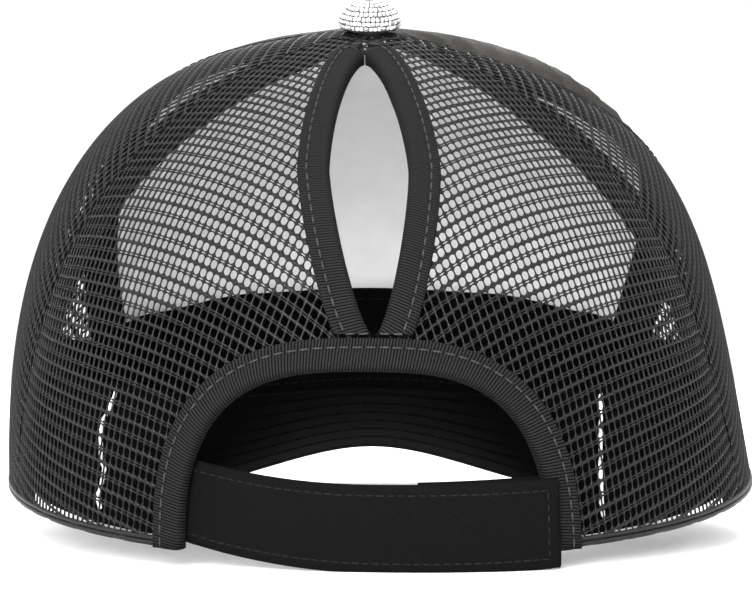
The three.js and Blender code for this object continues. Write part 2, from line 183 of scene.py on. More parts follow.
# How far the net's rows fall towards the back: shares of the distance, of its square and of its cube
SIDE_FALL = (0.22, 0.0, 0.0)
REAR_FALL = (0.13, 0.0025, 0.00004)

# Stitches
STITCH_PITCH = 2.6
STITCH_LENGTH = 1.9
STITCH_THICKNESS = 0.42
TOPSTITCH_INSETS = (2.0, 4.0)

# Stitches of the closure: pitch, length and thickness, and their share of the strap's height from its edge
STRAP_STITCH = (2.0, 1.5, 0.34)
STRAP_STITCH_INSET = 0.12

# Left and right as in the photo, and the signs of their X
SIDES = (("left", 1), ("right", -1))

# The crown's frame is tipped back by this angle at rest.
REST_TILT = math.radians(7.2268)

# Camera, in the frame of the rim: where it stands, how far it looks down, and its lens
CAMERA_PLACE = (-1.42, 500.0, 93.8)
CAMERA_DOWN = math.radians(6.1)
CAMERA_LENS = 101.25

# Rim height above the crown's base plane, as a share of RIM_WAVE: azimuth from the front, rise
RIM_TABLE = np.array([(0, 1), (20, 0.78), (40, 0), (57, -1), (75, -0.35), (95, 0), (180, 0)], float)

# Soft dents of the net: azimuth, share of the way up, depth and reach as shares
DENT_TABLE = [(-112, 0.62, 1, 1), (-140, 0.72, 0.5, 0.7), (128, 0.66, 0.45, 0.8)]

# The left white edge of the sweatband wanders: share of its height, degrees further towards the back
BAND_EDGE_TABLE = np.array(
    [(0, 1), (0.1, 0.2), (0.2, 0.8), (0.34, 1), (0.41, 0), (0.65, -0.8), (0.74, -0.8), (0.83, 0), (1, 0.8)],
    float,
)


def mix(a, b, share):
    return a + (b - a) * share


def smooth(share):
    s = np.clip(share, 0, 1)
    return s * s * (3 - 2 * s)


def read_table(table, value):
    """Reads the second column of a table at a value of its first, eased between rows."""
    keys, values = table[:, 0], table[:, 1]
    upper = np.clip(np.searchsorted(keys, value), 1, len(keys) - 1)
    share = (value - keys[upper - 1]) / (keys[upper] - keys[upper - 1])
    return mix(values[upper - 1], values[upper], smooth(share))


def bisect(low, high, rising, steps=34):
    """Finds where a rising function crosses zero between two arrays of values."""
    for _ in range(steps):
        middle = (low + high) / 2
        under = rising(middle) < 0
        low = np.where(under, middle, low)
        high = np.where(under, high, middle)
    return (low + high) / 2


def length(vectors):
    return np.sqrt((vectors * vectors).sum(-1))


def unit(vectors):
    return vectors / np.maximum(length(vectors), 1e-12)[..., None]


def vector(x, y, z):
    return np.stack(np.broadcast_arrays(x, y, z), -1).astype(float)


# The crown's plain form is a rounded dome around the origin of the rim's frame.
POLE_DIRECTION = unit(np.array([0, POLE_SETBACK, CROWN_HEIGHT]))


def plan_reach(azimuth):
    across = np.abs(np.sin(azimuth)) / CROWN_HALF_WIDTH
    along = np.abs(np.cos(azimuth)) / CROWN_HALF_LENGTH
    return (across**PLAN_EXPONENT + along**PLAN_EXPONENT) ** (-1 / PLAN_EXPONENT)


def dome_share(point):
    """How far out a point is, as a share of the way to the dome: 1 on the dome itself."""
    azimuth = np.arctan2(point[..., 0], -point[..., 1])
    exponent = mix(END_EXPONENT, SIDE_EXPONENT, np.sin(azimuth) ** 2)
    out = np.hypot(point[..., 0], point[..., 1]) / plan_reach(azimuth)
    up = np.abs(point[..., 2]) / CROWN_HEIGHT
    return (out**exponent + up**exponent) ** (1 / exponent)


def snap(point):
    return point / dome_share(point)[..., None]


def dome_normal(point):
    step = 0.05
    slopes = []
    for axis in np.eye(3) * step:
        slopes.append(dome_share(point + axis) - dome_share(point - axis))
    return unit(np.stack(slopes, -1))


def dome_point(azimuth, climb):
    """A point of the dome by its azimuth in degrees and its climb from the base plane, 0, to the pole, 1."""
    azimuth, climb = np.broadcast_arrays(np.asarray(azimuth, float), np.asarray(climb, float))
    turn = np.radians(azimuth)
    foot = vector(np.sin(turn), -np.cos(turn), 0)
    arc = np.arccos(foot @ POLE_DIRECTION)
    direction = foot * np.sin((1 - climb) * arc)[..., None]
    return snap(direction + POLE_DIRECTION * np.sin(climb * arc)[..., None])


POLE = dome_point(0, 1)


def station(point):
    """The azimuth in degrees and the climb of points of the dome."""
    rise = point[..., 2] / POLE_DIRECTION[2]
    foot = point - POLE_DIRECTION * rise[..., None]
    azimuth = np.degrees(np.arctan2(foot[..., 0], -foot[..., 1]))
    share = rise / np.maximum(length(foot), 1e-9)
    arc = np.arccos(np.clip(unit(foot) @ POLE_DIRECTION, -1, 1))
    climb = np.arctan2(share * np.sin(arc), 1 + share * np.cos(arc)) / arc
    return azimuth, climb


def front_seam(side, climb):
    """The azimuth of a front seam: on the right, side -1, its top is further back."""
    rise = np.sin(np.clip(climb, 0, 1) * math.pi / 2)
    left = mix(FRONT_SEAM_AT_RIM, FRONT_SEAM_AT_TOP_LEFT, rise**FRONT_SEAM_TURN_LEFT)
    right = mix(FRONT_SEAM_AT_RIM, FRONT_SEAM_AT_TOP_RIGHT, rise**FRONT_SEAM_TURN_RIGHT)
    return np.where(np.asarray(side) < 0, right, left)


FRONT_SEAMS = {1: lambda climb: front_seam(1, climb), -1: lambda climb: front_seam(-1, climb)}


def rear_seam(climb):
    return REAR_SEAM + 0 * climb


def lift(point, offset):
    """Moves points off the dome by a depth along its normal, then gives the crown its worn shape."""
    normal = dome_normal(point)
    place = point + normal * np.asarray(offset, float)[..., None]
    low = 1 - np.clip(point[..., 2] / FLARE_HEIGHT, 0, 1)
    spread = FLARE * (point[..., 0] / CROWN_HALF_WIDTH) ** 2 * low**2
    place[..., 0] -= np.where(point[..., 0] < 0, spread, 0)
    away = length(point - POLE)
    place[..., 2] += POLE_RISE * np.exp(-((away / POLE_RISE_REACH) ** 2))
    inward = 0
    for azimuth, climb, depth, reach in DENT_TABLE:
        centre = dome_point(azimuth, climb)
        inward = inward + depth * DENT_DEPTH * np.exp(-((length(point - centre) / (reach * DENT_REACH)) ** 2))
    azimuth, climb = station(point)
    for seam in (front_seam(point[..., 0], climb), REAR_SEAM):
        across = np.radians(np.abs(azimuth) - seam) * away
        fade = smooth(climb * 3) * smooth(away / POLE_RISE_REACH)
        inward = inward + SEAM_PULL * np.exp(-((across / SEAM_PULL_REACH) ** 2)) * fade
    return place - normal * inward[..., None]


def rim_height(azimuth):
    return RIM_WAVE * read_table(RIM_TABLE, np.abs(azimuth))


def climb_at_height(azimuth, height):
    azimuth, height = np.broadcast_arrays(np.asarray(azimuth, float), height)
    low = np.full(azimuth.shape, -0.2)
    return bisect(low, low + 0.8, lambda climb: dome_point(azimuth, climb)[..., 2] - height)


def climb_near_pole(azimuth, distance):
    azimuth, distance = np.broadcast_arrays(np.asarray(azimuth, float), distance)
    low = np.full(azimuth.shape, 0.5)
    return bisect(low, low + 0.5, lambda climb: distance - length(dome_point(azimuth, climb) - POLE))


def rear_point(x, z):
    """A point at the back of the dome by its distance to the side and its height."""
    x, z = np.broadcast_arrays(np.asarray(x, float), np.asarray(z, float))
    low = np.zeros(x.shape)
    y = bisect(low, low + 2 * CROWN_HALF_LENGTH, lambda reach: dome_share(vector(x, reach, z)) - 1)
    return vector(x, y, z)


STEM_HOLE = BUTTON_STEM + GAP + FACET_GAP


def climb_along(azimuth, share):
    low = climb_at_height(azimuth, rim_height(azimuth))
    return mix(low, climb_near_pole(azimuth, STEM_HOLE), share)


def seam_margin(azimuth, climb):
    """Half a seam gap in degrees of azimuth."""
    step = 0.5
    spread = length(dome_point(azimuth + step, climb) - dome_point(azimuth - step, climb))
    return (GAP / 2) * ((2 * step) / spread)


def front_stations(rows, columns):
    """The azimuths and climbs of the front panel's grid, as arrays of rows and columns."""
    row = np.linspace(0, 1, rows + 1)[:, None]
    column = np.linspace(0, 1, columns + 1)[None, :]
    start, end = -front_seam(-1, row), front_seam(1, row)
    first = start + seam_margin(start, climb_along(start, row))
    final = end - seam_margin(end, climb_along(end, row))
    azimuth = mix(first, final, column)
    return azimuth, climb_along(azimuth, row)


def beside(path_at, share, width):
    """A point of the dome beside a path, at a width square to the path. The opening is on its other side."""
    step = 0.002
    share, width = np.broadcast_arrays(share, np.asarray(width, float))
    point = path_at(share)
    ahead = path_at(np.minimum(1, share + step))
    behind = path_at(np.maximum(0, share - step))
    across = unit(np.cross(ahead - behind, dome_normal(point)))
    return snap(point + across * width[..., None])


def arch_path(share):
    """The half-moon's edge, from its right foot over the top to its left foot."""
    turn = np.asarray(share, float) * math.pi
    across = -np.cos(turn)
    x = ARCH_SHIFT + ARCH_HALF_WIDTH * np.sign(across) * np.abs(across) ** (2 / ARCH_WIDTH_EXPONENT)
    z = ARCH_HEIGHT * np.abs(np.sin(turn)) ** (2 / ARCH_HEIGHT_EXPONENT)
    return rear_point(x, z)


SLIT_START = climb_at_height(180, ARCH_HEIGHT + BINDING_WIDTH)
SLIT_END = climb_near_pole(180, SLIT_TOP)


def slit_path(side):
    """An edge of the slit: down its left side, side 1, or up its right side, side -1."""

    def path_at(share):
        turn = side * (1 - 2 * share) * math.pi / 2
        reach = np.where(turn > 0, 1 - SLIT_WIDEST, SLIT_WIDEST)
        along = SLIT_WIDEST + reach * np.sign(turn) * np.abs(np.sin(turn)) ** (2 / SLIT_EXPONENT)
        edge = SLIT_EDGE_GAP + SLIT_HALF_WIDTH * np.maximum(0, np.cos(turn)) ** (2 / SLIT_EXPONENT)
        edge = edge + side * SLIT_LEAN * (2 * along - 1)
        climb = mix(SLIT_START, SLIT_END, along)
        low = np.full(climb.shape, 120.0)
        azimuth = bisect(low, low + 80, lambda angle: edge - dome_point(angle, climb)[..., 0])
        return dome_point(side * azimuth, climb)

    return path_at


def above_arch(point):
    """Points at the back of the dome, held above the outer edge of the half-moon's binding."""
    margin = BINDING_WIDTH + GAP
    across = np.abs(point[..., 0] - ARCH_SHIFT) / (ARCH_HALF_WIDTH + margin)
    rest = np.maximum(0, 1 - across**ARCH_WIDTH_EXPONENT)
    lowest = (ARCH_HEIGHT + margin) * rest ** (1 / ARCH_HEIGHT_EXPONENT)
    return rear_point(point[..., 0], np.maximum(point[..., 2], lowest))


def tilted(points):
    """Points of the rim's frame, tipped back as the cap rests, still in millimetres."""
    x, y, z = points[..., 0], points[..., 1], points[..., 2]
    turn = REST_TILT
    return vector(x, y * math.cos(turn) + z * math.sin(turn), z * math.cos(turn) - y * math.sin(turn))


# The frame says where the tipped crown stands: its front panel is in the front panel's box.
panel_azimuth, panel_climb = front_stations(18, 26)
panel_corner = tilted(lift(dome_point(panel_azimuth, panel_climb), 0.0 * panel_climb)).min((0, 1))
panel_inner = tilted(lift(dome_point(panel_azimuth, panel_climb), 0.0 * panel_climb - FRONT_WALL)).min((0, 1))
STAND = np.array(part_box("front_panel")[0]) * 1000 - np.minimum(panel_corner, panel_inner)


def settle(points):
    return (tilted(np.asarray(points, float)) + STAND) / 1000


def ripple(point, reach, seed):
    """A smooth, repeatable unevenness from -1 to 1 over points in millimetres."""
    total = 0
    for k in range(4):
        turn = seed * 1.7 + k * 2.4
        way = np.array([math.cos(turn), math.sin(turn), math.sin(turn * 1.3 + 1)])
        total = total + np.sin(point @ way * (2.1 + 0.6 * k) / reach + turn * 3)
    return total / 4


# Mesh making


def grid_quads(rows, columns, start=0, wrap=False):
    """Faces of a grid of rows by columns of points."""
    across = columns if wrap else columns - 1
    i, j = np.meshgrid(np.arange(rows - 1), np.arange(across), indexing="ij")
    nearby = (j + 1) % columns
    quads = [i * columns + j, i * columns + nearby, (i + 1) * columns + nearby, (i + 1) * columns + j]
    return np.stack(quads, -1).reshape(-1, 4) + start


def add_piece(name, points, quads, materials, finishes=None, flat=None, soft=True):
    """Makes a mesh object from points in the rim's frame, quads, materials and flat places."""
    quads = np.asarray(quads)
    corners = settle(points)
    corners[:, 2] = np.maximum(corners[:, 2], 0)
    centre = corners.mean(0)
    a, b, c, d = (corners[quads[:, k]] - centre for k in range(4))
    volume = (np.cross(a, b) * c).sum() + (np.cross(a, c) * d).sum()
    if volume < 0:
        quads = quads[:, ::-1]
    mesh = bpy.data.meshes.new(name)
    mesh.vertices.add(len(corners))
    mesh.vertices.foreach_set("co", corners.astype(np.float32).ravel())
    mesh.loops.add(quads.size)
    mesh.loops.foreach_set("vertex_index", quads.ravel().astype(np.int32))
    mesh.polygons.add(len(quads))
    mesh.polygons.foreach_set("loop_start", np.arange(0, quads.size, 4, dtype=np.int32))
    if finishes is not None:
        mesh.polygons.foreach_set("material_index", np.asarray(finishes, np.int32))
    if flat is not None:
        layer = mesh.uv_layers.new(name="cloth")
        layer.data.foreach_set("uv", np.asarray(flat, np.float32)[quads.ravel()].ravel())
    mesh.update(calc_edges=True)
    mesh.validate()
    mesh.polygons.foreach_set("use_smooth", np.full(len(mesh.polygons), soft))
    for material in materials:
        mesh.materials.append(material)
    piece = bpy.data.objects.new(name, mesh)
    bpy.context.scene.collection.objects.link(piece)
    return piece


def dress(piece, *nodes):
    """Hangs a piece on the cap and hides the CAD nodes it stands for."""
    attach(piece, "root")
    if nodes:
        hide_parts(*nodes)
    return piece


def shell(name, outer, inner, materials, flat=None, inside=0):
    """A closed skin between two grids of points, with the material numbered inside on the inner grid."""
    rows, columns = outer.shape[:2]
    points = np.concatenate([outer.reshape(-1, 3), inner.reshape(-1, 3)])
    count = rows * columns
    face = grid_quads(rows, columns)
    back = grid_quads(rows, columns, count)[:, ::-1]
    quads = [face, back]
    numbers = np.arange(count).reshape(rows, columns)
    for line in (numbers[0], numbers[-1, ::-1], numbers[::-1, 0], numbers[:, -1]):
        quads.append(np.stack([line[1:], line[:-1], line[:-1] + count, line[1:] + count], -1))
    finishes = np.concatenate([np.full(len(part), inside if k == 1 else 0) for k, part in enumerate(quads)])
    if flat is not None:
        flat = np.concatenate([flat.reshape(-1, 2)] * 2)
    return add_piece(name, points, np.concatenate(quads), materials, finishes, flat)


def rounded(columns, wall, edge):
    """Shares across a strip with the depths of its two faces, rounded at both edges over a width share."""
    share = (1 - np.cos(np.linspace(0, math.pi, columns))) / 2
    near = np.clip(np.minimum(share, 1 - share) / edge, 0, 1)
    half = wall / 2 * np.maximum(np.sqrt(1 - (1 - near) ** 2), 0.12)
    return share, wall / 2 - half, wall / 2 + half


def run_length(points):
    """How far along a line of points each one is."""
    steps = length(np.diff(points, axis=0))
    return np.concatenate([[0], np.cumsum(steps)])


def read_line(points, along, marks):
    """Points at marks along a line of points, whose lengths along it are given."""
    return np.stack([np.interp(marks, along, points[:, k]) for k in range(3)], -1)


def even_line(points, pitch):
    """Points at an even pitch along a line, with their directions."""
    along = run_length(points)
    count = max(2, int(along[-1] / pitch))
    marks = (np.arange(count) + 0.5) * along[-1] / count
    step = 0.1
    ahead, behind = read_line(points, along, marks + step), read_line(points, along, marks - step)
    return read_line(points, along, marks), unit(ahead - behind)


def capsules(name, centres, ways, sides, long, thick, material):
    """Short round-ended threads at centres, along ways, lying on surfaces whose outward sides are given."""
    across = unit(np.cross(ways, sides))
    out = np.cross(across, ways)
    turns = np.arange(6) * math.pi / 3
    rings = [(-0.5, 0.25), (-0.4, 0.8), (0, 1), (0.4, 0.8), (0.5, 0.25)]
    points = []
    for along, girth in rings:
        for turn in turns:
            shift = ways * along * long + across * math.cos(turn) * girth * thick / 2
            points.append(centres + shift + out * math.sin(turn) * girth * thick / 2)
    points = np.stack(points, 1)
    ring = grid_quads(len(rings), 6, wrap=True)
    ends = np.array([[3, 2, 1, 0], [5, 4, 3, 0], [24, 25, 26, 27], [24, 27, 28, 29]])
    one = np.concatenate([ring, ends])
    quads = (np.arange(len(centres))[:, None, None] * 30 + one[None]).reshape(-1, 4)
    return dress(add_piece(name, points.reshape(-1, 3), quads, [material]))


def stitch_rows(name, lines, sides, material, pitch=STITCH_PITCH, long=STITCH_LENGTH, thick=STITCH_THICKNESS):
    """Stitches along lines of points, each lying on a side given as a line of directions."""
    found = [(even_line(line, pitch), side) for line, side in zip(lines, sides)]
    centres = np.concatenate([line for (line, _), _ in found])
    ways = np.concatenate([way for (_, way), _ in found])
    outs = []
    for (line, _), side in found:
        pick = np.linspace(0, len(side) - 1, len(line)).round().astype(int)
        outs.append(side[pick])
    return capsules(name, centres, ways, np.concatenate(outs), long, thick, material)


def sew(name, rows, material, **sizes):
    """Stitches along rows: points of the dome, their height off it, and 1 outside or -1 inside."""
    lines = [lift(place, height + 0 * place[..., 0]) for place, height, _ in rows]
    sides = [face * dome_normal(place) for place, _, face in rows]
    return stitch_rows(name, lines, sides, material, **sizes)


def tube(points, radius, sides=6):
    """Points and quads of a round thread along a line of points, with its ends closed to small rings."""
    way = unit(np.gradient(points, axis=0))
    across = unit(np.cross(way, [0.3, 0.2, 0.93]))
    out = np.cross(across, way)
    turn = np.arange(sides) * 2 * math.pi / sides
    girth = np.full(len(points), radius)
    girth[[0, -1]] = radius * 0.2
    ring = across[:, None] * np.cos(turn)[None, :, None] + out[:, None] * np.sin(turn)[None, :, None]
    skin = (points[:, None] + ring * girth[:, None, None]).reshape(-1, 3)
    return skin, grid_quads(len(points), sides, wrap=True)


def threads(name, lines, radius, material):
    points, quads, start = [], [], 0
    for line in lines:
        found, faces = tube(line, radius)
        points.append(found)
        quads.append(faces + start)
        start += len(found)
    return dress(add_piece(name, np.concatenate(points), np.concatenate(quads), [material]))


# Materials


class Nodes:
    """A material under construction: a short way to add and join its nodes."""

    def __init__(self, name, slot):
        self.material = bpy.data.materials.new(name)
        self.material["slot"] = slot
        self.material.use_nodes = True
        self.tree = self.material.node_tree
        self.shader = self.tree.nodes["Principled BSDF"]

    def add(self, kind, settings=None, **inputs):
        node = self.tree.nodes.new("ShaderNode" + kind)
        for key, value in (settings or {}).items():
            setattr(node, key, value)
        for key, value in inputs.items():
            socket = node.inputs[key.replace("_", " ")]
            if isinstance(value, bpy.types.NodeSocket):
                self.tree.links.new(value, socket)
            else:
                socket.default_value = value
        return node

    def link(self, source, target):
        self.tree.links.new(source, target)

    def place(self):
        """Positions in metres that ride with the surface."""
        return self.add("TexCoord").outputs["Object"]

    def flat(self):
        """Places on the cloth as it was cut, in millimetres."""
        return self.add("UVMap", {"uv_map": "cloth"}).outputs["UV"]

    def ramp(self, value, low, high, start=0.0, end=1.0):
        node = self.add("ValToRGB")
        node.color_ramp.elements[0].position = start
        node.color_ramp.elements[1].position = end
        node.color_ramp.elements[0].color = (*low, 1)
        node.color_ramp.elements[1].color = (*high, 1)
        self.link(value, node.inputs["Fac"])
        return node.outputs["Color"]

    def bump(self, height, strength, distance, before=None):
        node = self.add("Bump", Strength=strength, Distance=distance, Height=height)
        if before is not None:
            self.link(before, node.inputs["Normal"])
        return node.outputs["Normal"]

    def finish(self, colour, normal=None, roughness=0.8, sheen=0.0, metallic=0.0, specular=0.03):
        self.link(colour, self.shader.inputs["Base Color"])
        if normal is not None:
            self.link(normal, self.shader.inputs["Normal"])
        self.shader.inputs["Roughness"].default_value = roughness
        self.shader.inputs["Sheen Weight"].default_value = sheen
        self.shader.inputs["Sheen Roughness"].default_value = 0.45
        self.shader.inputs["Metallic"].default_value = metallic
        self.shader.inputs["Specular IOR Level"].default_value = specular
        return self.material


# Blender's wave bands in each millimetre at scale 1, and the relief of woven cloth in metres
WAVE_PER_MM = 0.314
CLOTH_RELIEF = 0.0001


def grey(level):
    return (level, level, level)


def fuzz(nodes, scale, detail=4.0):
    noise = nodes.add("TexNoise", Vector=nodes.place(), Scale=scale, Detail=detail, Roughness=0.6)
    return noise.outputs["Fac"]


def ribbed_cloth(name, slot, dark, light, pitch, turn, roughness=0.75, specular=0.03):
    """Woven tape with fine ribs at a pitch in millimetres, turned in degrees from square to its length."""
    nodes = Nodes(name, slot)
    turned = nodes.add("Mapping", Vector=nodes.flat(), Rotation=(0, 0, math.radians(turn)))
    wave = nodes.add("TexWave", Vector=turned.outputs["Vector"], Scale=WAVE_PER_MM / pitch, Distortion=0.6)
    wave.inputs["Detail"].default_value = 2
    wave.inputs["Detail Scale"].default_value = 1.5
    small = nodes.add("TexNoise", Vector=nodes.flat(), Scale=2.2, Detail=3.0)
    both = nodes.add("Math", {"operation": "MULTIPLY_ADD"})
    nodes.link(small.outputs["Fac"], both.inputs[0])
    both.inputs[1].default_value = 0.5
    nodes.link(wave.outputs["Fac"], both.inputs[2])
    colour = nodes.ramp(both.outputs["Value"], dark, light, 0.25, 1.2)
    normal = nodes.bump(both.outputs["Value"], 0.8, CLOTH_RELIEF)
    return nodes.finish(colour, normal, roughness, specular=specular)


def woven_cloth(name, slot, dark, light, pitch):
    """Plain weave at a pitch in millimetres."""
    nodes = Nodes(name, slot)
    product = nodes.add("Math", {"operation": "ADD"})
    for k, way in enumerate("XY"):
        bands = {"bands_direction": way}
        wave = nodes.add("TexWave", bands, Vector=nodes.flat(), Scale=WAVE_PER_MM / pitch, Distortion=0.4)
        nodes.link(wave.outputs["Fac"], product.inputs[k])
    colour = nodes.ramp(product.outputs["Value"], dark, light, 0.2, 1.6)
    cloud = nodes.bump(fuzz(nodes, 300), 0.3, 0.0004)
    normal = nodes.bump(product.outputs["Value"], 0.6, CLOTH_RELIEF, cloud)
    return nodes.finish(colour, normal, roughness=0.85)


def yarn(name, slot, dark, light, roughness, sheen=0.0, specular=0.05):
    """Bare thread, with a fine unevenness."""
    nodes = Nodes(name, slot)
    noise = fuzz(nodes, 2500)
    colour = nodes.ramp(noise, dark, light, 0.3, 0.75)
    normal = nodes.bump(noise, 0.5, 0.00012)
    return nodes.finish(colour, normal, roughness, sheen, specular=specular)


def sparkle(name, slot, cell, low, high):
    """Silvery cloth of small bright and dull flecks, each facing its own way."""
    nodes = Nodes(name, slot)
    voronoi = nodes.add("TexVoronoi", Vector=nodes.place(), Scale=1 / cell)
    colour = nodes.ramp(voronoi.outputs["Color"], low, high, 0.15, 0.85)
    centred = nodes.add("VectorMath", {"operation": "SUBTRACT"})
    nodes.link(voronoi.outputs["Color"], centred.inputs[0])
    centred.inputs[1].default_value = (0.5, 0.5, 0.5)
    swing = nodes.add("VectorMath", {"operation": "SCALE"})
    nodes.link(centred.outputs["Vector"], swing.inputs[0])
    swing.inputs["Scale"].default_value = 0.9
    turned = nodes.add("VectorMath", {"operation": "ADD"})
    nodes.link(nodes.add("NewGeometry").outputs["Normal"], turned.inputs[0])
    nodes.link(swing.outputs["Vector"], turned.inputs[1])
    even = nodes.add("VectorMath", {"operation": "NORMALIZE"})
    nodes.link(turned.outputs["Vector"], even.inputs[0])
    return nodes.finish(colour, even.outputs["Vector"], roughness=0.4, metallic=0.55)


def lining_cloth():
    """Pale felt-like backing of the front panel."""
    nodes = Nodes("pale_lining", "front_cloth")
    colour = nodes.ramp(fuzz(nodes, 90), grey(0.84), grey(0.9), 0.3, 0.7)
    normal = nodes.bump(fuzz(nodes, 1500), 0.2, 0.0002)
    return nodes.finish(colour, normal, roughness=0.95, sheen=0.1)


FRONT_DARK = (0.006, 0.005, 0.004)
FRONT_LIGHT = (0.016, 0.014, 0.012)
FRONT = ribbed_cloth("front_panel_black", "front_cloth", FRONT_DARK, FRONT_LIGHT, 0.5, 40, 0.6)
LINING = lining_cloth()
NET = yarn("net_yarn", "net", grey(0.001), grey(0.013), 0.36, specular=0.17)
TAPE = woven_cloth("seam_tape_cloth", "seam_tape", grey(0.002), grey(0.006), 0.45)
BINDING = ribbed_cloth("binding_twill", "binding", grey(0.0003), grey(0.0125), 0.58, 8)
BAND = woven_cloth("sweatband_cloth", "sweatband", grey(0.0005), grey(0.0015), 0.5)
BAND_EDGE = yarn("band_edge_white", "band_edge", grey(0.85), grey(0.95), 0.9, 0.1)
PEAK = ribbed_cloth("visor_twill", "visor_cloth", grey(0.0008), grey(0.003), 0.5, 60, 0.9)
STRAP = ribbed_cloth("strap_twill", "strap", grey(0.0008), grey(0.005), 0.42, 35, specular=0.02)
# The button's ground is near black: painted shade for the gaps between its raised cells.
BUTTON_GROUND_GAP_SHADE = yarn("button_ground_painted_shade", "button_cloth", grey(0.02), grey(0.06), 0.6)
BUTTON_CELLS = sparkle("button_flecks", "button_cloth", 0.0009, grey(0.3), grey(0.8))
HOOK = yarn("hook_pile", "hook", grey(0.003), grey(0.01), 0.5)
PILE = yarn("loop_pile", "pile", grey(0.003), grey(0.012), 0.8)
BLACK_THREAD = yarn("black_thread", "binding", grey(0.015), grey(0.05), 0.6)
VISOR_THREAD = yarn("visor_thread", "visor_cloth", grey(0.001), grey(0.004), 0.7)
STRAP_THREAD = yarn("strap_thread", "strap", grey(0.004), grey(0.016), 0.6)
TAPE_THREAD = yarn("tape_thread", "seam_tape", grey(0.002), grey(0.007), 0.6)
FRONT_THREAD = yarn("front_thread", "front_cloth", grey(0.008), grey(0.03), 0.6)


# Front panel


def make_front_panel():
    azimuth, climb = front_stations(80, 120)
    base = dome_point(azimuth, climb)
    soft = FRONT_SWELL * ripple(base, 26, 3) + FRONT_CRUMPLE * ripple(base, 9, 8)
    gathered = smooth((-azimuth - 40) / 35) * smooth((climb - 0.35) / 0.2) * smooth((1 - climb) / 0.12)
    pucker = PUCKER * gathered * np.sin(climb * 150 - azimuth * 0.12 + ripple(base, 15, 4))
    outer = lift(base, soft - FRONT_SINK + pucker)
    inner = lift(base, soft * 0.8 - FRONT_WALL)
    flat = np.stack([azimuth * 1.5, climb * 140], -1)
    piece = shell("front_panel_cloth", outer, inner, [FRONT, LINING], flat, 1)
    row_count, columns = azimuth.shape
    first = (row_count - 1) * (columns - 1)
    for hem in range(first, first + 2 * (columns - 1)):
        piece.data.polygons[hem].material_index = 0
    dress(piece, "front_panel")
    rows = []
    share = np.linspace(0.01, 0.93, 160)
    for _, side in SIDES:
        climb = climb_along(front_seam(side, share), share)
        seam = dome_point(side * front_seam(side, climb), climb)
        across = unit(np.cross(np.gradient(seam, axis=0), dome_normal(seam)))
        rows += [(snap(seam + across * side * inset), 0.08, 1) for inset in TOPSTITCH_INSETS]
    sew("front_topstitch", rows, FRONT_THREAD)


# Net


def flat_map(azimuth):
    """A map from places on a net panel as cut, across and along its grain, to points of the dome."""
    climb = np.linspace(-0.12, 1.25, 400)
    line = dome_point(azimuth, climb)
    along = run_length(line)
    foot = np.interp(climb_at_height(azimuth, 0.0), climb, along)
    marks = np.arange(-8.0, 190.0, NET_MAP_STEP)
    centre = snap(read_line(line, along, marks + foot))
    way = unit(np.gradient(centre, axis=0))
    sides = []
    for turn in (-1, 1):
        point = centre
        found = []
        for _ in range(NET_MAP_STEPS):
            across = unit(np.cross(way, dome_normal(point))) * turn
            ahead = snap(point + across * NET_MAP_STEP)
            off = ((ahead - centre) * way).sum(-1)
            ahead = snap(ahead - way * off[:, None])
            point = point + unit(ahead - point) * NET_MAP_STEP
            point = snap(point)
            found.append(point)
        sides.append(np.stack(found, 1))
    return np.concatenate([sides[0][:, ::-1], centre[:, None], sides[1]], 1), marks[0]


def read_map(table, first, across, along):
    """Reads a flat map at places across and along, in millimetres."""
    i = np.clip((along - first) / NET_MAP_STEP, 0, table.shape[0] - 1.001)
    j = np.clip(across / NET_MAP_STEP + NET_MAP_STEPS, 0, table.shape[1] - 1.001)
    row, column = i.astype(int), j.astype(int)
    s, t = (i - row)[..., None], (j - column)[..., None]
    low = mix(table[row, column], table[row, column + 1], t)
    high = mix(table[row + 1, column], table[row + 1, column + 1], t)
    return snap(mix(low, high, s))


def hold_inside(point, start_at, end_at):
    """Pulls points of the dome that lie past a panel's seams or rim back to its edge."""
    azimuth, climb = station(point)
    side = np.sign(azimuth)
    turn = np.clip(np.abs(azimuth), start_at(climb), end_at(climb))
    low = climb_at_height(turn, rim_height(turn))
    return dome_point(side * turn, np.maximum(climb, low))


# The twelve points around a hole: each one's lattice column, row and slot, and its place from -1 to 1
HOLE_RING = (
    (0, 0, 0, -1, -1),
    (0, 0, 4, 0, -1),
    (1, 0, 0, 1, -1),
    (1, 0, 1, 1, -0.5),
    (1, 0, 2, 1, 0),
    (1, 0, 3, 1, 0.5),
    (1, 1, 0, 1, 1),
    (0, 1, 4, 0, 1),
    (0, 1, 0, -1, 1),
    (0, 0, 3, -1, 0.5),
    (0, 0, 2, -1, 0),
    (0, 0, 1, -1, -0.5),
)


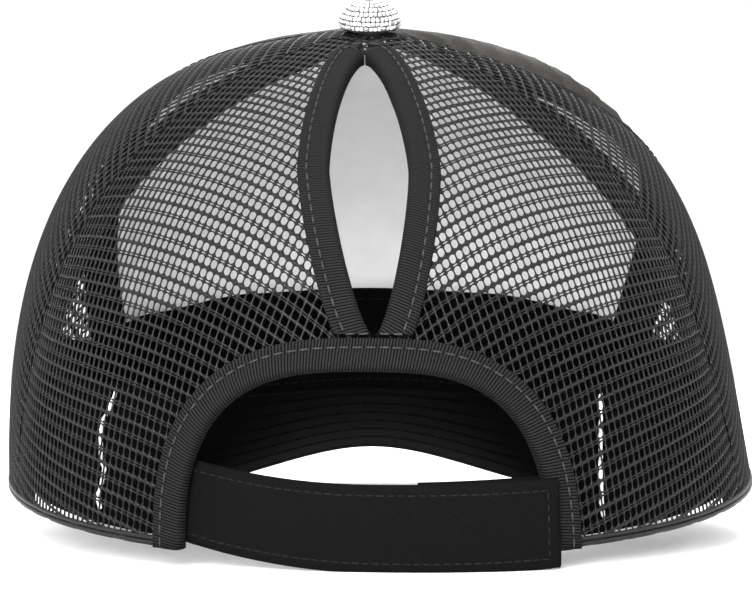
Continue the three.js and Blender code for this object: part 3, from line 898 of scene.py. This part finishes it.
def make_net(node, side, grain, fall, start_at, end_at, is_open):
    """A panel of warp-knit net, one hole at a time, with every second bar split in two."""
    table, first = flat_map(side * grain)
    columns = np.arange(-48, 49) * NET_COLUMN
    pair = 2 * NET_ROW
    starts = np.arange(-6, 40) * pair
    rows = np.sort(np.concatenate([starts, starts + NET_SPLIT, starts + NET_SPLIT / 2 + NET_ROW]))
    phase = np.mod(rows[:-1], pair)
    split = np.isclose(phase, 0) | np.isclose(phase, pair)
    plain_low = np.isclose(phase, NET_SPLIT / 2 + NET_ROW)

    def place(across, along):
        back = np.clip(across * side, -60, 40)
        drop = fall[0] * back + fall[1] * back**2 + fall[2] * back**3
        warped = along - drop + 0.5 * np.sin(across / 17 + along / 29) + 0.3 * np.sin(along / 11)
        sideways = across + 0.35 * np.sin(along / 13 + across / 23)
        return read_map(table, first, sideways, warped)

    low, high = rows[:-1], rows[1:]
    middle = place(mix(columns[:-1], columns[1:], 0.5)[:, None], mix(low, high, 0.5)[None, :])
    azimuth, climb = station(middle)
    turn = np.abs(azimuth)
    rim = climb_at_height(turn, rim_height(turn))
    margin = np.minimum(turn - start_at(climb), end_at(climb) - turn) * np.radians(1) * length(middle - POLE)
    kept = (margin > -0.2) & (climb > rim - 0.004) & (side * azimuth > 0) & (climb < 1)
    kept &= (length(middle - POLE) > STEM_HOLE) & ~is_open(middle)
    i, k = np.nonzero(kept)

    # Corners and edge points are shared by neighbouring holes: four on a side, two on a bar.
    lattice_across = np.stack([columns] * 4 + [columns + NET_COLUMN / 2], -1)
    shares = np.array([0, 0.25, 0.5, 0.75, 0])
    tall = np.append(high - low, 0)
    lattice_along = rows[:, None] + tall[:, None] * shares[None, :]
    across = np.broadcast_to(lattice_across[:, None, :], (len(columns), len(rows), 5))
    along = np.broadcast_to(lattice_along[None], (len(columns), len(rows), 5))
    number = np.arange(across.size).reshape(across.shape)
    ring = np.stack([number[i + right, k + up, slot] for right, up, slot, _, _ in HOLE_RING], -1)
    used, ring = np.unique(ring, return_inverse=True)
    ring = ring.reshape(-1, 12)
    edge = hold_inside(place(across.ravel()[used], along.ravel()[used]), start_at, end_at)

    # The hole: a rounded, slightly tapering ring inside the lattice cell.
    corner = np.array(HOLE_RING, float)[:, 3:]
    wide = (NET_COLUMN - NET_YARN) / 2
    bar_low = np.where(split, NET_SPLIT_BAR, np.where(plain_low, NET_BAR / 2, NET_THIN_BAR))[k]
    bar_high = np.where(split, NET_SPLIT_BAR, np.where(plain_low, NET_THIN_BAR, NET_BAR / 2))[k]
    bottom, top = low[k] + bar_low, high[k] - bar_high
    half = (top - bottom) / 2
    reach = np.where(split[k], wide * 0.75, wide)
    at_corner = (np.abs(corner[:, 0]) == 1) & (np.abs(corner[:, 1]) == 1)
    pull = np.where(at_corner, 1 - NET_ROUND * 1.6, 1.0)
    narrow = 1 - 0.12 * (corner[None, :, 1] < 0) * np.abs(corner[None, :, 1])
    x = columns[i][:, None] + NET_COLUMN / 2 + reach[:, None] * corner[:, 0] * pull * narrow
    y = mix(bottom, top, 0.5)[:, None] + half[:, None] * corner[:, 1] * np.where(at_corner, 1 - NET_ROUND, 1)
    hole = hold_inside(place(x, y), start_at, end_at).reshape(-1, 3)

    outer = lift(edge, np.full(len(edge), NET_HALF_WALL - NET_SINK))
    inner = lift(edge, np.full(len(edge), -NET_HALF_WALL - NET_SINK))
    waist = lift(hole, np.full(len(hole), -NET_SINK))
    points = np.concatenate([outer, inner, waist])
    count = len(edge)
    around = np.roll(np.arange(12), -1)
    inside = 2 * count + np.arange(len(ring) * 12).reshape(-1, 12)
    upper = np.stack([ring, ring[:, around], inside[:, around], inside], -1).reshape(-1, 4)
    under = np.stack([ring[:, around] + count, ring + count, inside, inside[:, around]], -1).reshape(-1, 4)
    piece = add_piece(f"{node}_holes", points, np.concatenate([upper, under]), [NET])
    return dress(piece, node)


def never_open(point):
    return np.zeros(point.shape[:-1], bool)


def rear_open(point):
    """Whether points lie in the half-moon or the slit, or in the fold of their bindings."""
    seat = 2.2
    wide = (np.abs(point[..., 0] - ARCH_SHIFT) / (ARCH_HALF_WIDTH + seat)) ** ARCH_WIDTH_EXPONENT
    tall = (np.maximum(point[..., 2], 0) / (ARCH_HEIGHT + seat)) ** ARCH_HEIGHT_EXPONENT
    _, climb = station(point)
    along = (climb - SLIT_START) / (SLIT_END - SLIT_START)
    seat_share = seat / length(dome_point(180, SLIT_END) - dome_point(180, SLIT_START))
    reach = np.where(along > SLIT_WIDEST, 1 - SLIT_WIDEST, SLIT_WIDEST) + seat_share
    up = np.abs(along - SLIT_WIDEST) / reach
    side = np.abs(point[..., 0] - SLIT_LEAN * (2 * along - 1)) / (SLIT_HALF_WIDTH + seat)
    return (wide + tall < 1) | (up**SLIT_EXPONENT + side**SLIT_EXPONENT < 1)


def rear_middle(climb):
    return 180.0 + 0 * climb


def make_nets():
    for label, side in SIDES:
        make_net(f"side_net_{label}", side, SIDE_GRAIN, SIDE_FALL, FRONT_SEAMS[side], rear_seam, never_open)
        make_net(f"rear_net_{label}", side, REAR_GRAIN, REAR_FALL, rear_seam, rear_middle, rear_open)
    lines = []
    for start, end in ((-180 + 25, -FRONT_SEAM_AT_RIM), (FRONT_SEAM_AT_RIM, 180 - 25)):
        azimuth = np.linspace(start, end, 260)
        for rise in (0.5, 1.5):
            foot = dome_point(azimuth, climb_at_height(azimuth, rim_height(azimuth) + rise))
            lines.append(lift(foot, 0 * azimuth - NET_SINK))
    threads("net_rim_fold", lines, NET_RIM_FOLD, NET)


# Seam tapes


def make_seam_tape(label, side, place_name, seam_at, depth):
    first = seam_at(np.array(0.0))
    start = climb_at_height(first, rim_height(first) + BAND_LIFT)
    end = climb_near_pole(seam_at(np.array(1.0)), STEM_HOLE + 2 * GAP)
    mitre = np.radians((REAR_SEAM - front_seam(side, 1.0)) / 2)
    share = np.linspace(0, 1, 60)
    climb = mix(start, end, share)
    line = dome_point(side * seam_at(climb), climb)
    across = unit(np.cross(np.gradient(line, axis=0), dome_normal(line)))
    half = np.minimum(SEAM_TAPE_WIDTH / 2, length(line - POLE) * np.sin(mitre) - GAP)
    column, near, far = rounded(15, TAPE_WALL, 0.06)
    offset = mix(-half[:, None], half[:, None], column[None, :])
    place = snap(line[:, None] + across[:, None] * offset[..., None])
    puff = TAPE_PUFF * ripple(place, 7, 5) * np.sin(column * math.pi)
    seat = depth + GAP + FACET_GAP
    outer = lift(place, -(seat + near[None, :] + 0 * offset))
    inner = lift(place, -(seat + far[None, :] + puff))
    flat = np.stack([np.broadcast_to(run_length(line)[:, None], offset.shape), offset], -1)
    piece = shell(f"{place_name}_tape_{label}_cloth", outer, inner, [TAPE], flat)
    dress(piece, f"{place_name}_tape_{label}")
    kept = half > 4
    edges = [snap(line[kept] + across[kept] * (half[kept] * inset)[:, None]) for inset in (-0.72, 0.72)]
    rows = [(edge, -(seat + TAPE_WALL + 0.06), -1) for edge in edges]
    sew(f"{place_name}_tape_{label}_stitches", rows, TAPE_THREAD)


# Bindings, folded over the edges of the net


OUTER_LEG = GAP + TAPE_WALL
INNER_LEG = -(NET_WALL + GAP + TAPE_WALL)
BINDING_STITCH_HEIGHTS = ((OUTER_LEG - 0.08, 1), (INNER_LEG + 0.08, -1))


def binding_lines():
    """Widths and depths of a folded tape's outer and inner faces, from one leg's edge to the other's."""
    middle = (OUTER_LEG + INNER_LEG) / 2
    half = (OUTER_LEG - INNER_LEG) / 2
    turn = np.linspace(math.pi / 2, -math.pi / 2, 13)
    fold = 1.3
    bend = np.sign(np.sin(turn)) * np.abs(np.sin(turn)) ** 0.8
    round_part = [(fold - fold * math.cos(t), middle + half * b) for t, b in zip(turn, bend)]
    legs = np.array([BINDING_WIDTH, 6.42, 6.2, 5.6, 4.9, 4.5, 4.1, 3.4, 2.6, 1.9])
    sink = np.array([0.65, 0.32, 0.12, 0.02, 0.12, 0.24, 0.12, 0.02, 0, 0])
    top = [(w, OUTER_LEG - s) for w, s in zip(legs, sink)]
    bottom = [(w, INNER_LEG + s) for w, s in zip(legs[::-1], sink[::-1])]
    outer = np.array(top + round_part + bottom)
    inner = np.stack([np.maximum(outer[:, 0], WEB_WALL), np.clip(outer[:, 1], -(NET_WALL + GAP), GAP)], -1)
    return outer, inner


def soft_height(place, height):
    """A height off the dome with the slight unevenness of a folded tape."""
    return height + BINDING_WAVE * ripple(place, 8, 2)


def make_binding(name, path_at, steps, held=lambda point: point):
    share = np.linspace(0, 1, steps + 1)[:, None]
    faces = []
    outer_line, inner_line = binding_lines()
    for line in (outer_line, inner_line):
        place = held(beside(path_at, share, line[None, :, 0]))
        faces.append(lift(place, soft_height(place, line[None, :, 1])))
    middle = path_at(share[:, 0])
    run = run_length(middle)
    girth = run_length(np.pad(outer_line, ((0, 0), (0, 1))))
    flat = np.stack(np.broadcast_arrays(run[:, None], girth[None, :]), -1)
    piece = shell(f"{name}_cloth", faces[0], faces[1], [BINDING], flat)
    dress(piece, name)
    place = held(beside(path_at, share[:, 0], BINDING_STITCH))
    rows = [(place, soft_height(place, height), face) for height, face in BINDING_STITCH_HEIGHTS]
    sew(f"{name}_stitches", rows, BLACK_THREAD)


def make_bindings():
    make_binding("arch_binding", arch_path, 110)
    for label, side in SIDES:
        make_binding(f"slit_binding_{label}", slit_path(side), 90, above_arch)


# Sweatband

BAND_DEPTH = FRONT_WALL + TAPE_WALL + 2 * GAP + 2 * FACET_GAP


def band_place(azimuth, share):
    height = rim_height(azimuth) + BAND_LIFT + BAND_HEIGHT * share
    return dome_point(azimuth, climb_at_height(azimuth, height))


def make_sweatband():
    share, near, far = rounded(17, BAND_WALL, 0.07)
    column = np.linspace(0, 1, 200)[:, None]
    azimuth = mix(-BAND_END_RIGHT, BAND_END_LEFT, column) + 0 * share[None, :]
    place = band_place(azimuth, share[None, :])
    puff = BAND_PUFF * ripple(place, 14, 4) * np.sin(share * math.pi)
    outer = lift(place, -(BAND_DEPTH + near[None, :] + 0 * puff))
    inner = lift(place, -(BAND_DEPTH + far[None, :] + puff))
    flat = np.stack(np.broadcast_arrays(azimuth * 1.55, share[None, :] * BAND_HEIGHT), -1)
    dress(shell("sweatband_cloth", outer, inner, [BAND], flat), "sweatband")
    azimuth = np.linspace(-BAND_END_RIGHT, BAND_END_LEFT, 400)
    places = [band_place(azimuth, row + 0 * azimuth) for row in (0.1, 0.9)]
    sew("sweatband_stitches", [(place, -BAND_DEPTH - BAND_WALL - 0.02, -1) for place in places], TAPE_THREAD)
    make_band_edge("left", 1, BAND_EDGE_LEFT, 0.0, 1.0)
    make_band_edge("right", -1, BAND_EDGE_RIGHT, BAND_EDGE_LEAN, 0.0)


def make_band_edge(label, side, azimuth, lean, wander):
    """A white edge that the sweatband shows near one of its ends, on its outer side."""
    share = np.linspace(0, 1, 60)
    line = azimuth + lean * (1 - share**1.5) + wander * read_table(BAND_EDGE_TABLE, share)
    fray = 0.2 * np.sin(share * 61) + 0.15 * np.sin(share * 23 + side)
    column, near, far = rounded(7, BAND_EDGE_WALL, 0.3)
    turn = math.degrees(BAND_EDGE_WIDTH / (POLE[1] + CROWN_HALF_LENGTH * 0.8)) * (1 + fray)
    place = side * (line[:, None] + turn[:, None] * column[None, :])
    height = mix(BAND_EDGE_FOOT, BAND_EDGE_HEAD, share)[:, None]
    place = band_place(place, height)
    rough = EDGE_ROUGHNESS * ripple(place, 1.2, 6)
    seat = BAND_DEPTH - GAP - BAND_EDGE_WALL
    outer = lift(place, -(seat + near[None, :] + rough))
    inner = lift(place, -(seat + far[None, :] + rough))
    piece = shell(f"sweatband_end_{label}_white", outer, inner, [BAND_EDGE])
    dress(piece, f"sweatband_end_{label}")


# Visor


def visor_level(x, y):
    out = -y - CROWN_HALF_LENGTH
    sag = np.hypot(x, VISOR_SAG_REACH) - VISOR_SAG_REACH
    return RIM_WAVE + VISOR_SEAT - VISOR_SLOPE * out - VISOR_SAG * sag


def visor_place(across, out, depth):
    """A point of the visor by its share across, -1 to 1, its share out to the edge, and its depth."""
    azimuth = across * VISOR_JOIN
    height = rim_height(azimuth) + VISOR_SEAT - depth
    inner = lift(dome_point(azimuth, climb_at_height(azimuth, height)), GAP + 0 * azimuth)
    corner = dome_point(VISOR_JOIN, climb_at_height(VISOR_JOIN, 0.0))
    half_width = corner[0] + FLARE / 2
    reach = CROWN_HALF_LENGTH + VISOR_LENGTH + corner[1]
    turn = across * math.radians(89)
    x = half_width * np.sign(turn) * np.abs(np.sin(turn)) ** (2 / VISOR_EXPONENT)
    y = corner[1] - reach * np.cos(turn) ** (2 / VISOR_EXPONENT)
    place_x, place_y = mix(inner[..., 0], x, out), mix(inner[..., 1], y, out)
    seat = inner[..., 2] + depth - visor_level(inner[..., 0], inner[..., 1])
    level = visor_level(place_x, place_y) + seat * (1 - out) ** 2 - depth
    return vector(place_x, place_y, level)


def make_visor():
    rows = np.linspace(VISOR_STITCH_FROM, VISOR_STITCH_TO, VISOR_STITCH_ROWS)
    across = np.linspace(-1, 1, 101)[:, None]
    out = 1 - (1 - np.linspace(0, 1, 120)) ** 1.35
    near = np.clip((1 - out) / 0.035, 0, 1)
    half = VISOR_WALL / 2 * np.maximum(np.sqrt(1 - (1 - near) ** 2), 0.1)
    grooves = [np.exp(-(((out - row) / VISOR_GROOVE_REACH) ** 2)) for row in [*rows, VISOR_HEM]]
    sink = VISOR_GROOVE * sum(grooves)
    top = visor_place(across, out[None, :], VISOR_WALL / 2 - half[None, :] + sink[None, :])
    bottom = visor_place(across, out[None, :], VISOR_WALL / 2 + half[None, :] - sink[None, :])
    flat = np.stack(np.broadcast_arrays(across * 90, out[None, :] * 72), -1)
    dress(shell("visor_cloth_peak", top, bottom, [PEAK], flat), "visor")
    lines, sides = [], []
    line_across = np.linspace(-0.97, 0.97, 500)
    for row in rows:
        for depth, face in ((VISOR_STITCH_DEPTH, 1), (VISOR_WALL - VISOR_STITCH_DEPTH, -1)):
            lines.append(visor_place(line_across, row + 0 * line_across, depth + 0 * line_across))
            sides.append(np.tile([0.0, 0.0, face], (500, 1)))
    stitch_rows("visor_stitches", lines, sides, VISOR_THREAD)


# Button


def button_profile(share):
    """Radius and height of the button's cover, from its top, 0, to its foot, 1."""
    top = math.pi * BUTTON_WRAP
    turn = share * top
    radius = BUTTON_RADIUS * np.sin(turn) ** 0.95
    height = (np.cos(turn) - math.cos(top)) / (1 - math.cos(top))
    return np.minimum(radius, BUTTON_RADIUS), GAP + FACET_GAP + BUTTON_HEIGHT * height


def button_place(share, turn, lifted):
    """A point of the button's cover by its share down, its turn in radians and its height off the cover."""
    normal = dome_normal(POLE)
    right = unit(np.cross([0.0, 0.0, 1.0], normal) + [1e-6, 0, 0])
    back = np.cross(normal, right)
    seat = lift(POLE, 0.0)
    step = 0.004
    radius, height = button_profile(share)
    radius_on, height_on = button_profile(np.minimum(share + step, 1))
    radius_off, height_off = button_profile(np.maximum(share - step, 0))
    slope = np.arctan2(height_off - height_on, radius_on - radius_off)
    radius = radius + np.sin(slope) * lifted
    height = height + np.cos(slope) * lifted
    flat = right * np.cos(turn)[..., None] + back * np.sin(turn)[..., None]
    return seat + flat * radius[..., None] + normal * height[..., None]


def make_button():
    share = np.linspace(0, 1, 26)[:, None]
    turn = np.linspace(0, 2 * math.pi, 49)[None, :-1]
    pleat = -0.12 + 0.1 * np.cos(turn * BUTTON_PLEATS) * smooth((share - 0.75) / 0.25)
    cover = button_place(*np.broadcast_arrays(share, turn, pleat))
    normal = dome_normal(POLE)
    seat = lift(POLE, 0.0)
    foot = cover[-1] - seat
    foot = foot - normal * (foot @ normal)[:, None]
    under = [seat + foot * 0.7 + normal * GAP]
    for depth in (GAP, -FRONT_WALL):
        under.append(seat + unit(foot) * BUTTON_STEM + normal * depth)
    under.append(np.broadcast_to(seat - normal * FRONT_WALL, foot.shape))
    rings = np.concatenate([cover, np.stack(under)])
    quads = grid_quads(*rings.shape[:2], wrap=True)
    piece = add_piece("button_cover", rings.reshape(-1, 3), quads, [BUTTON_GROUND_GAP_SHADE])
    dress(piece, "button")
    make_button_cells()


def make_button_cells():
    """Small raised cells in rings, on a ground coloured near black as painted shade in the gaps between them.
    """
    points, quads = [], []
    marks = np.array([-1, -0.6, 0, 0.6, 1])
    u, v = np.repeat(marks, 5), np.tile(marks, 5)
    swell = (1 - u**4) * (1 - v**4)
    corner = 1 - 0.1 * ((np.abs(u) == 1) & (np.abs(v) == 1))
    edges = np.linspace(0.06, 0.97, BUTTON_RINGS + 1)
    for ring in range(BUTTON_RINGS):
        low, high = edges[ring], edges[ring + 1]
        radius, _ = button_profile(np.array((low + high) / 2))
        count = max(5, int(2 * math.pi * radius / BUTTON_CELL))
        for k in range(count):
            middle = 2 * math.pi * (k + 0.5 * (ring % 2)) / count
            half_turn = math.pi / count * 0.86
            half_share = (high - low) / 2 * 0.84
            share = (low + high) / 2 + half_share * u * corner
            turn = middle + half_turn * v * corner
            quads.append(grid_quads(5, 5) + 25 * len(points))
            points.append(button_place(share, turn, BUTTON_CELL_RISE * swell - BUTTON_CELL_SINK))
    dress(add_piece("button_cells", np.concatenate(points), np.concatenate(quads), [BUTTON_CELLS]))


# Closure

INSIDE_LEVEL = -(NET_WALL + 2 * GAP + FACET_GAP + TAPE_WALL + STRAP_WALL / 2)
OUTSIDE_LEVEL = 2 * GAP + TAPE_WALL + STRAP_WALL / 2


def strap_level(x):
    share = (ARCH_SHIFT + ARCH_HALF_WIDTH - x) / (2 * ARCH_HALF_WIDTH)
    return mix(INSIDE_LEVEL, OUTSIDE_LEVEL, smooth(share))


def inside_level(x):
    return INSIDE_LEVEL + 0 * x


def strap_height_at(x):
    return STRAP_MIDDLE + np.where(x > 0, STRAP_RISE_LEFT, 0) * (x / ARCH_HALF_WIDTH) ** 2


def strip_place(x, share, height, level):
    return lift(rear_point(x, strap_height_at(x) + height * (share - 0.5)), level)


def make_strip(node, kind, from_x, to_x, size, level_at, material):
    """A strip across the opening from one side to the other, of a height and a wall."""
    height, wall = size
    share, near, far = rounded(19, wall, 0.05)
    x = np.linspace(from_x, to_x, 90)[:, None]
    x, rise = np.broadcast_arrays(x, share[None, :])
    level = level_at(x)
    outer = strip_place(x, rise, height, level + wall / 2 - near[None, :])
    inner = strip_place(x, rise, height, level + wall / 2 - far[None, :])
    flat = np.stack([x, rise * height], -1)
    return dress(shell(f"{node}_{kind}", outer, inner, [material], flat), node)


def pile(name, from_x, to_x, height, level_at, out, count, material, seed):
    """Short curled fibres standing on a fastening pad."""
    random = np.random.default_rng(seed)
    x = mix(from_x, to_x, random.uniform(0, 1, count))
    share = random.uniform(0, 1, count)
    share[: count // 3] = random.uniform(0.94, 1.0, count // 3)
    foot = strip_place(x, share, height, level_at(x))
    tip = strip_place(x, share, height, level_at(x) + out)
    lean = random.normal(0, 0.35, (count, 3))
    lines = []
    for k in range(count):
        middle = mix(foot[k], tip[k], 0.7) + lean[k] * 0.5
        end = tip[k] + lean[k] * 1.6 - (tip[k] - foot[k]) * 0.3
        lines.append(np.array([foot[k], middle, tip[k] + lean[k], end]))
    return threads(name, lines, FIBRE_RADIUS, material)


def make_closure():
    strap_start = ARCH_HALF_WIDTH + ARCH_SHIFT + STRAP_TUCK
    tab_start = ARCH_HALF_WIDTH - ARCH_SHIFT + STRAP_TUCK
    pad_start, pad_end = TAB_END + PAD_INSET, ARCH_HALF_WIDTH - ARCH_SHIFT - 2 * PAD_INSET
    pad_height = STRAP_HEIGHT - 2 * PAD_INSET

    def hook_level(x):
        return strap_level(x) - STRAP_WALL / 2 - GAP - PAD_WALL / 2

    def loop_level(x):
        return inside_level(x) + STRAP_WALL / 2 + GAP + PAD_WALL / 2

    strap_size, pad_size = (STRAP_HEIGHT, STRAP_WALL), (pad_height, PAD_WALL)
    pad = (-pad_start, -pad_end)
    make_strip("closure_strap", "twill", strap_start, -STRAP_END, strap_size, strap_level, STRAP)
    make_strip("closure_tab", "twill", -tab_start, -TAB_END, strap_size, inside_level, STRAP)
    make_strip("hook_pad", "base", *pad, pad_size, hook_level, HOOK)
    make_strip("loop_pad", "base", *pad, pad_size, loop_level, PILE)
    pile("hook_fibres", *pad, pad_height, hook_level, -HOOK_LENGTH, HOOK_COUNT, HOOK, 11)
    pile("loop_fibres", *pad, pad_height, loop_level, LOOP_LENGTH, LOOP_COUNT, PILE, 12)
    low, high = STRAP_STITCH_INSET, 1 - STRAP_STITCH_INSET
    along = np.linspace(strap_start, -STRAP_END + 2, 300)
    upright = np.linspace(low, high, 60)
    lines, sides = [], []
    for x, share in ((along, low), (along, high), (-STRAP_END + 2.2, upright)):
        x, share = np.broadcast_arrays(np.asarray(x, float), share)
        lines.append(strip_place(x, share, STRAP_HEIGHT, strap_level(x) + STRAP_WALL / 2))
        sides.append(dome_normal(rear_point(x, strap_height_at(x))))
    stitch_rows("closure_stitches", lines, sides, STRAP_THREAD, *STRAP_STITCH)


# Floor, light and camera


def paper():
    nodes = Nodes("pale_paper", "none")
    colour = nodes.ramp(fuzz(nodes, 40), grey(0.78), grey(0.8), 0.3, 0.7)
    return nodes.finish(colour, roughness=0.95)


def make_stage():
    """A round sheet of pale paper that curves up far from the cap."""
    radius = np.array([0.0, 0.4, 0.9, 1.5, 2.2, 2.7, 3.0, 3.15, 3.2])
    height = np.array([0.0, 0.0, 0.0, 0.0, 0.0, 0.08, 0.35, 0.9, 2.6])
    turn = np.linspace(0, 2 * math.pi, 97)[:-1]
    points = vector(radius[:, None] * np.cos(turn), radius[:, None] * np.sin(turn), height[:, None])
    mesh = bpy.data.meshes.new("floor")
    mesh.from_pydata(points.reshape(-1, 3).tolist(), [], grid_quads(len(radius), 96, wrap=True).tolist())
    mesh.polygons.foreach_set("use_smooth", [True] * len(mesh.polygons))
    mesh.materials.append(paper())
    floor = bpy.data.objects.new("floor", mesh)
    bpy.context.scene.collection.objects.link(floor)


def make_light(name, place, size, power):
    data = bpy.data.lights.new(name, "AREA")
    data.shape = "DISK"
    data.size = size
    data.energy = power
    lamp = bpy.data.objects.new(name, data)
    lamp.location = place
    aim = Vector((0, 0, 0.05)) - Vector(place)
    lamp.rotation_euler = aim.to_track_quat("-Z", "Y").to_euler()
    bpy.context.scene.collection.objects.link(lamp)


# Each light's name, place in metres, size and power
LIGHTS = (
    ("overhead", (0.0, -0.1, 1.6), 1.6, 26),
    ("from_behind_cap", (0.3, 1.5, 0.55), 1.0, 62),
    ("left_fill", (1.4, 0.3, 0.9), 1.0, 10),
    ("right_fill", (-1.4, 0.3, 0.9), 1.0, 10),
    ("front_fill", (0.0, -1.4, 0.9), 1.0, 22),
)


def make_lights():
    world = bpy.data.worlds.new("studio")
    world.use_nodes = True
    world.node_tree.nodes["Background"].inputs["Color"].default_value = (1, 1, 1, 1)
    world.node_tree.nodes["Background"].inputs["Strength"].default_value = 1.0
    bpy.context.scene.world = world
    for name, place, size, power in LIGHTS:
        make_light(name, place, size, power)


def make_camera():
    data = bpy.data.cameras.new("camera")
    data.lens = CAMERA_LENS
    data.sensor_width = 36
    data.clip_start = 0.01
    camera = bpy.data.objects.new("camera", data)
    camera.location = Vector(settle(np.array(CAMERA_PLACE)).tolist())
    camera.rotation_euler = (math.pi / 2 + REST_TILT - CAMERA_DOWN, 0, math.pi)
    bpy.context.scene.collection.objects.link(camera)
    bpy.context.scene.camera = camera


bpy.context.scene.view_settings.view_transform = "Standard"

make_front_panel()
make_nets()
for tape_label, tape_side in SIDES:
    make_seam_tape(tape_label, tape_side, "front", FRONT_SEAMS[tape_side], FRONT_WALL)
    make_seam_tape(tape_label, tape_side, "rear", rear_seam, NET_WALL)
make_bindings()
make_sweatband()
make_visor()
make_button()
make_closure()
make_stage()
make_lights()
make_camera()
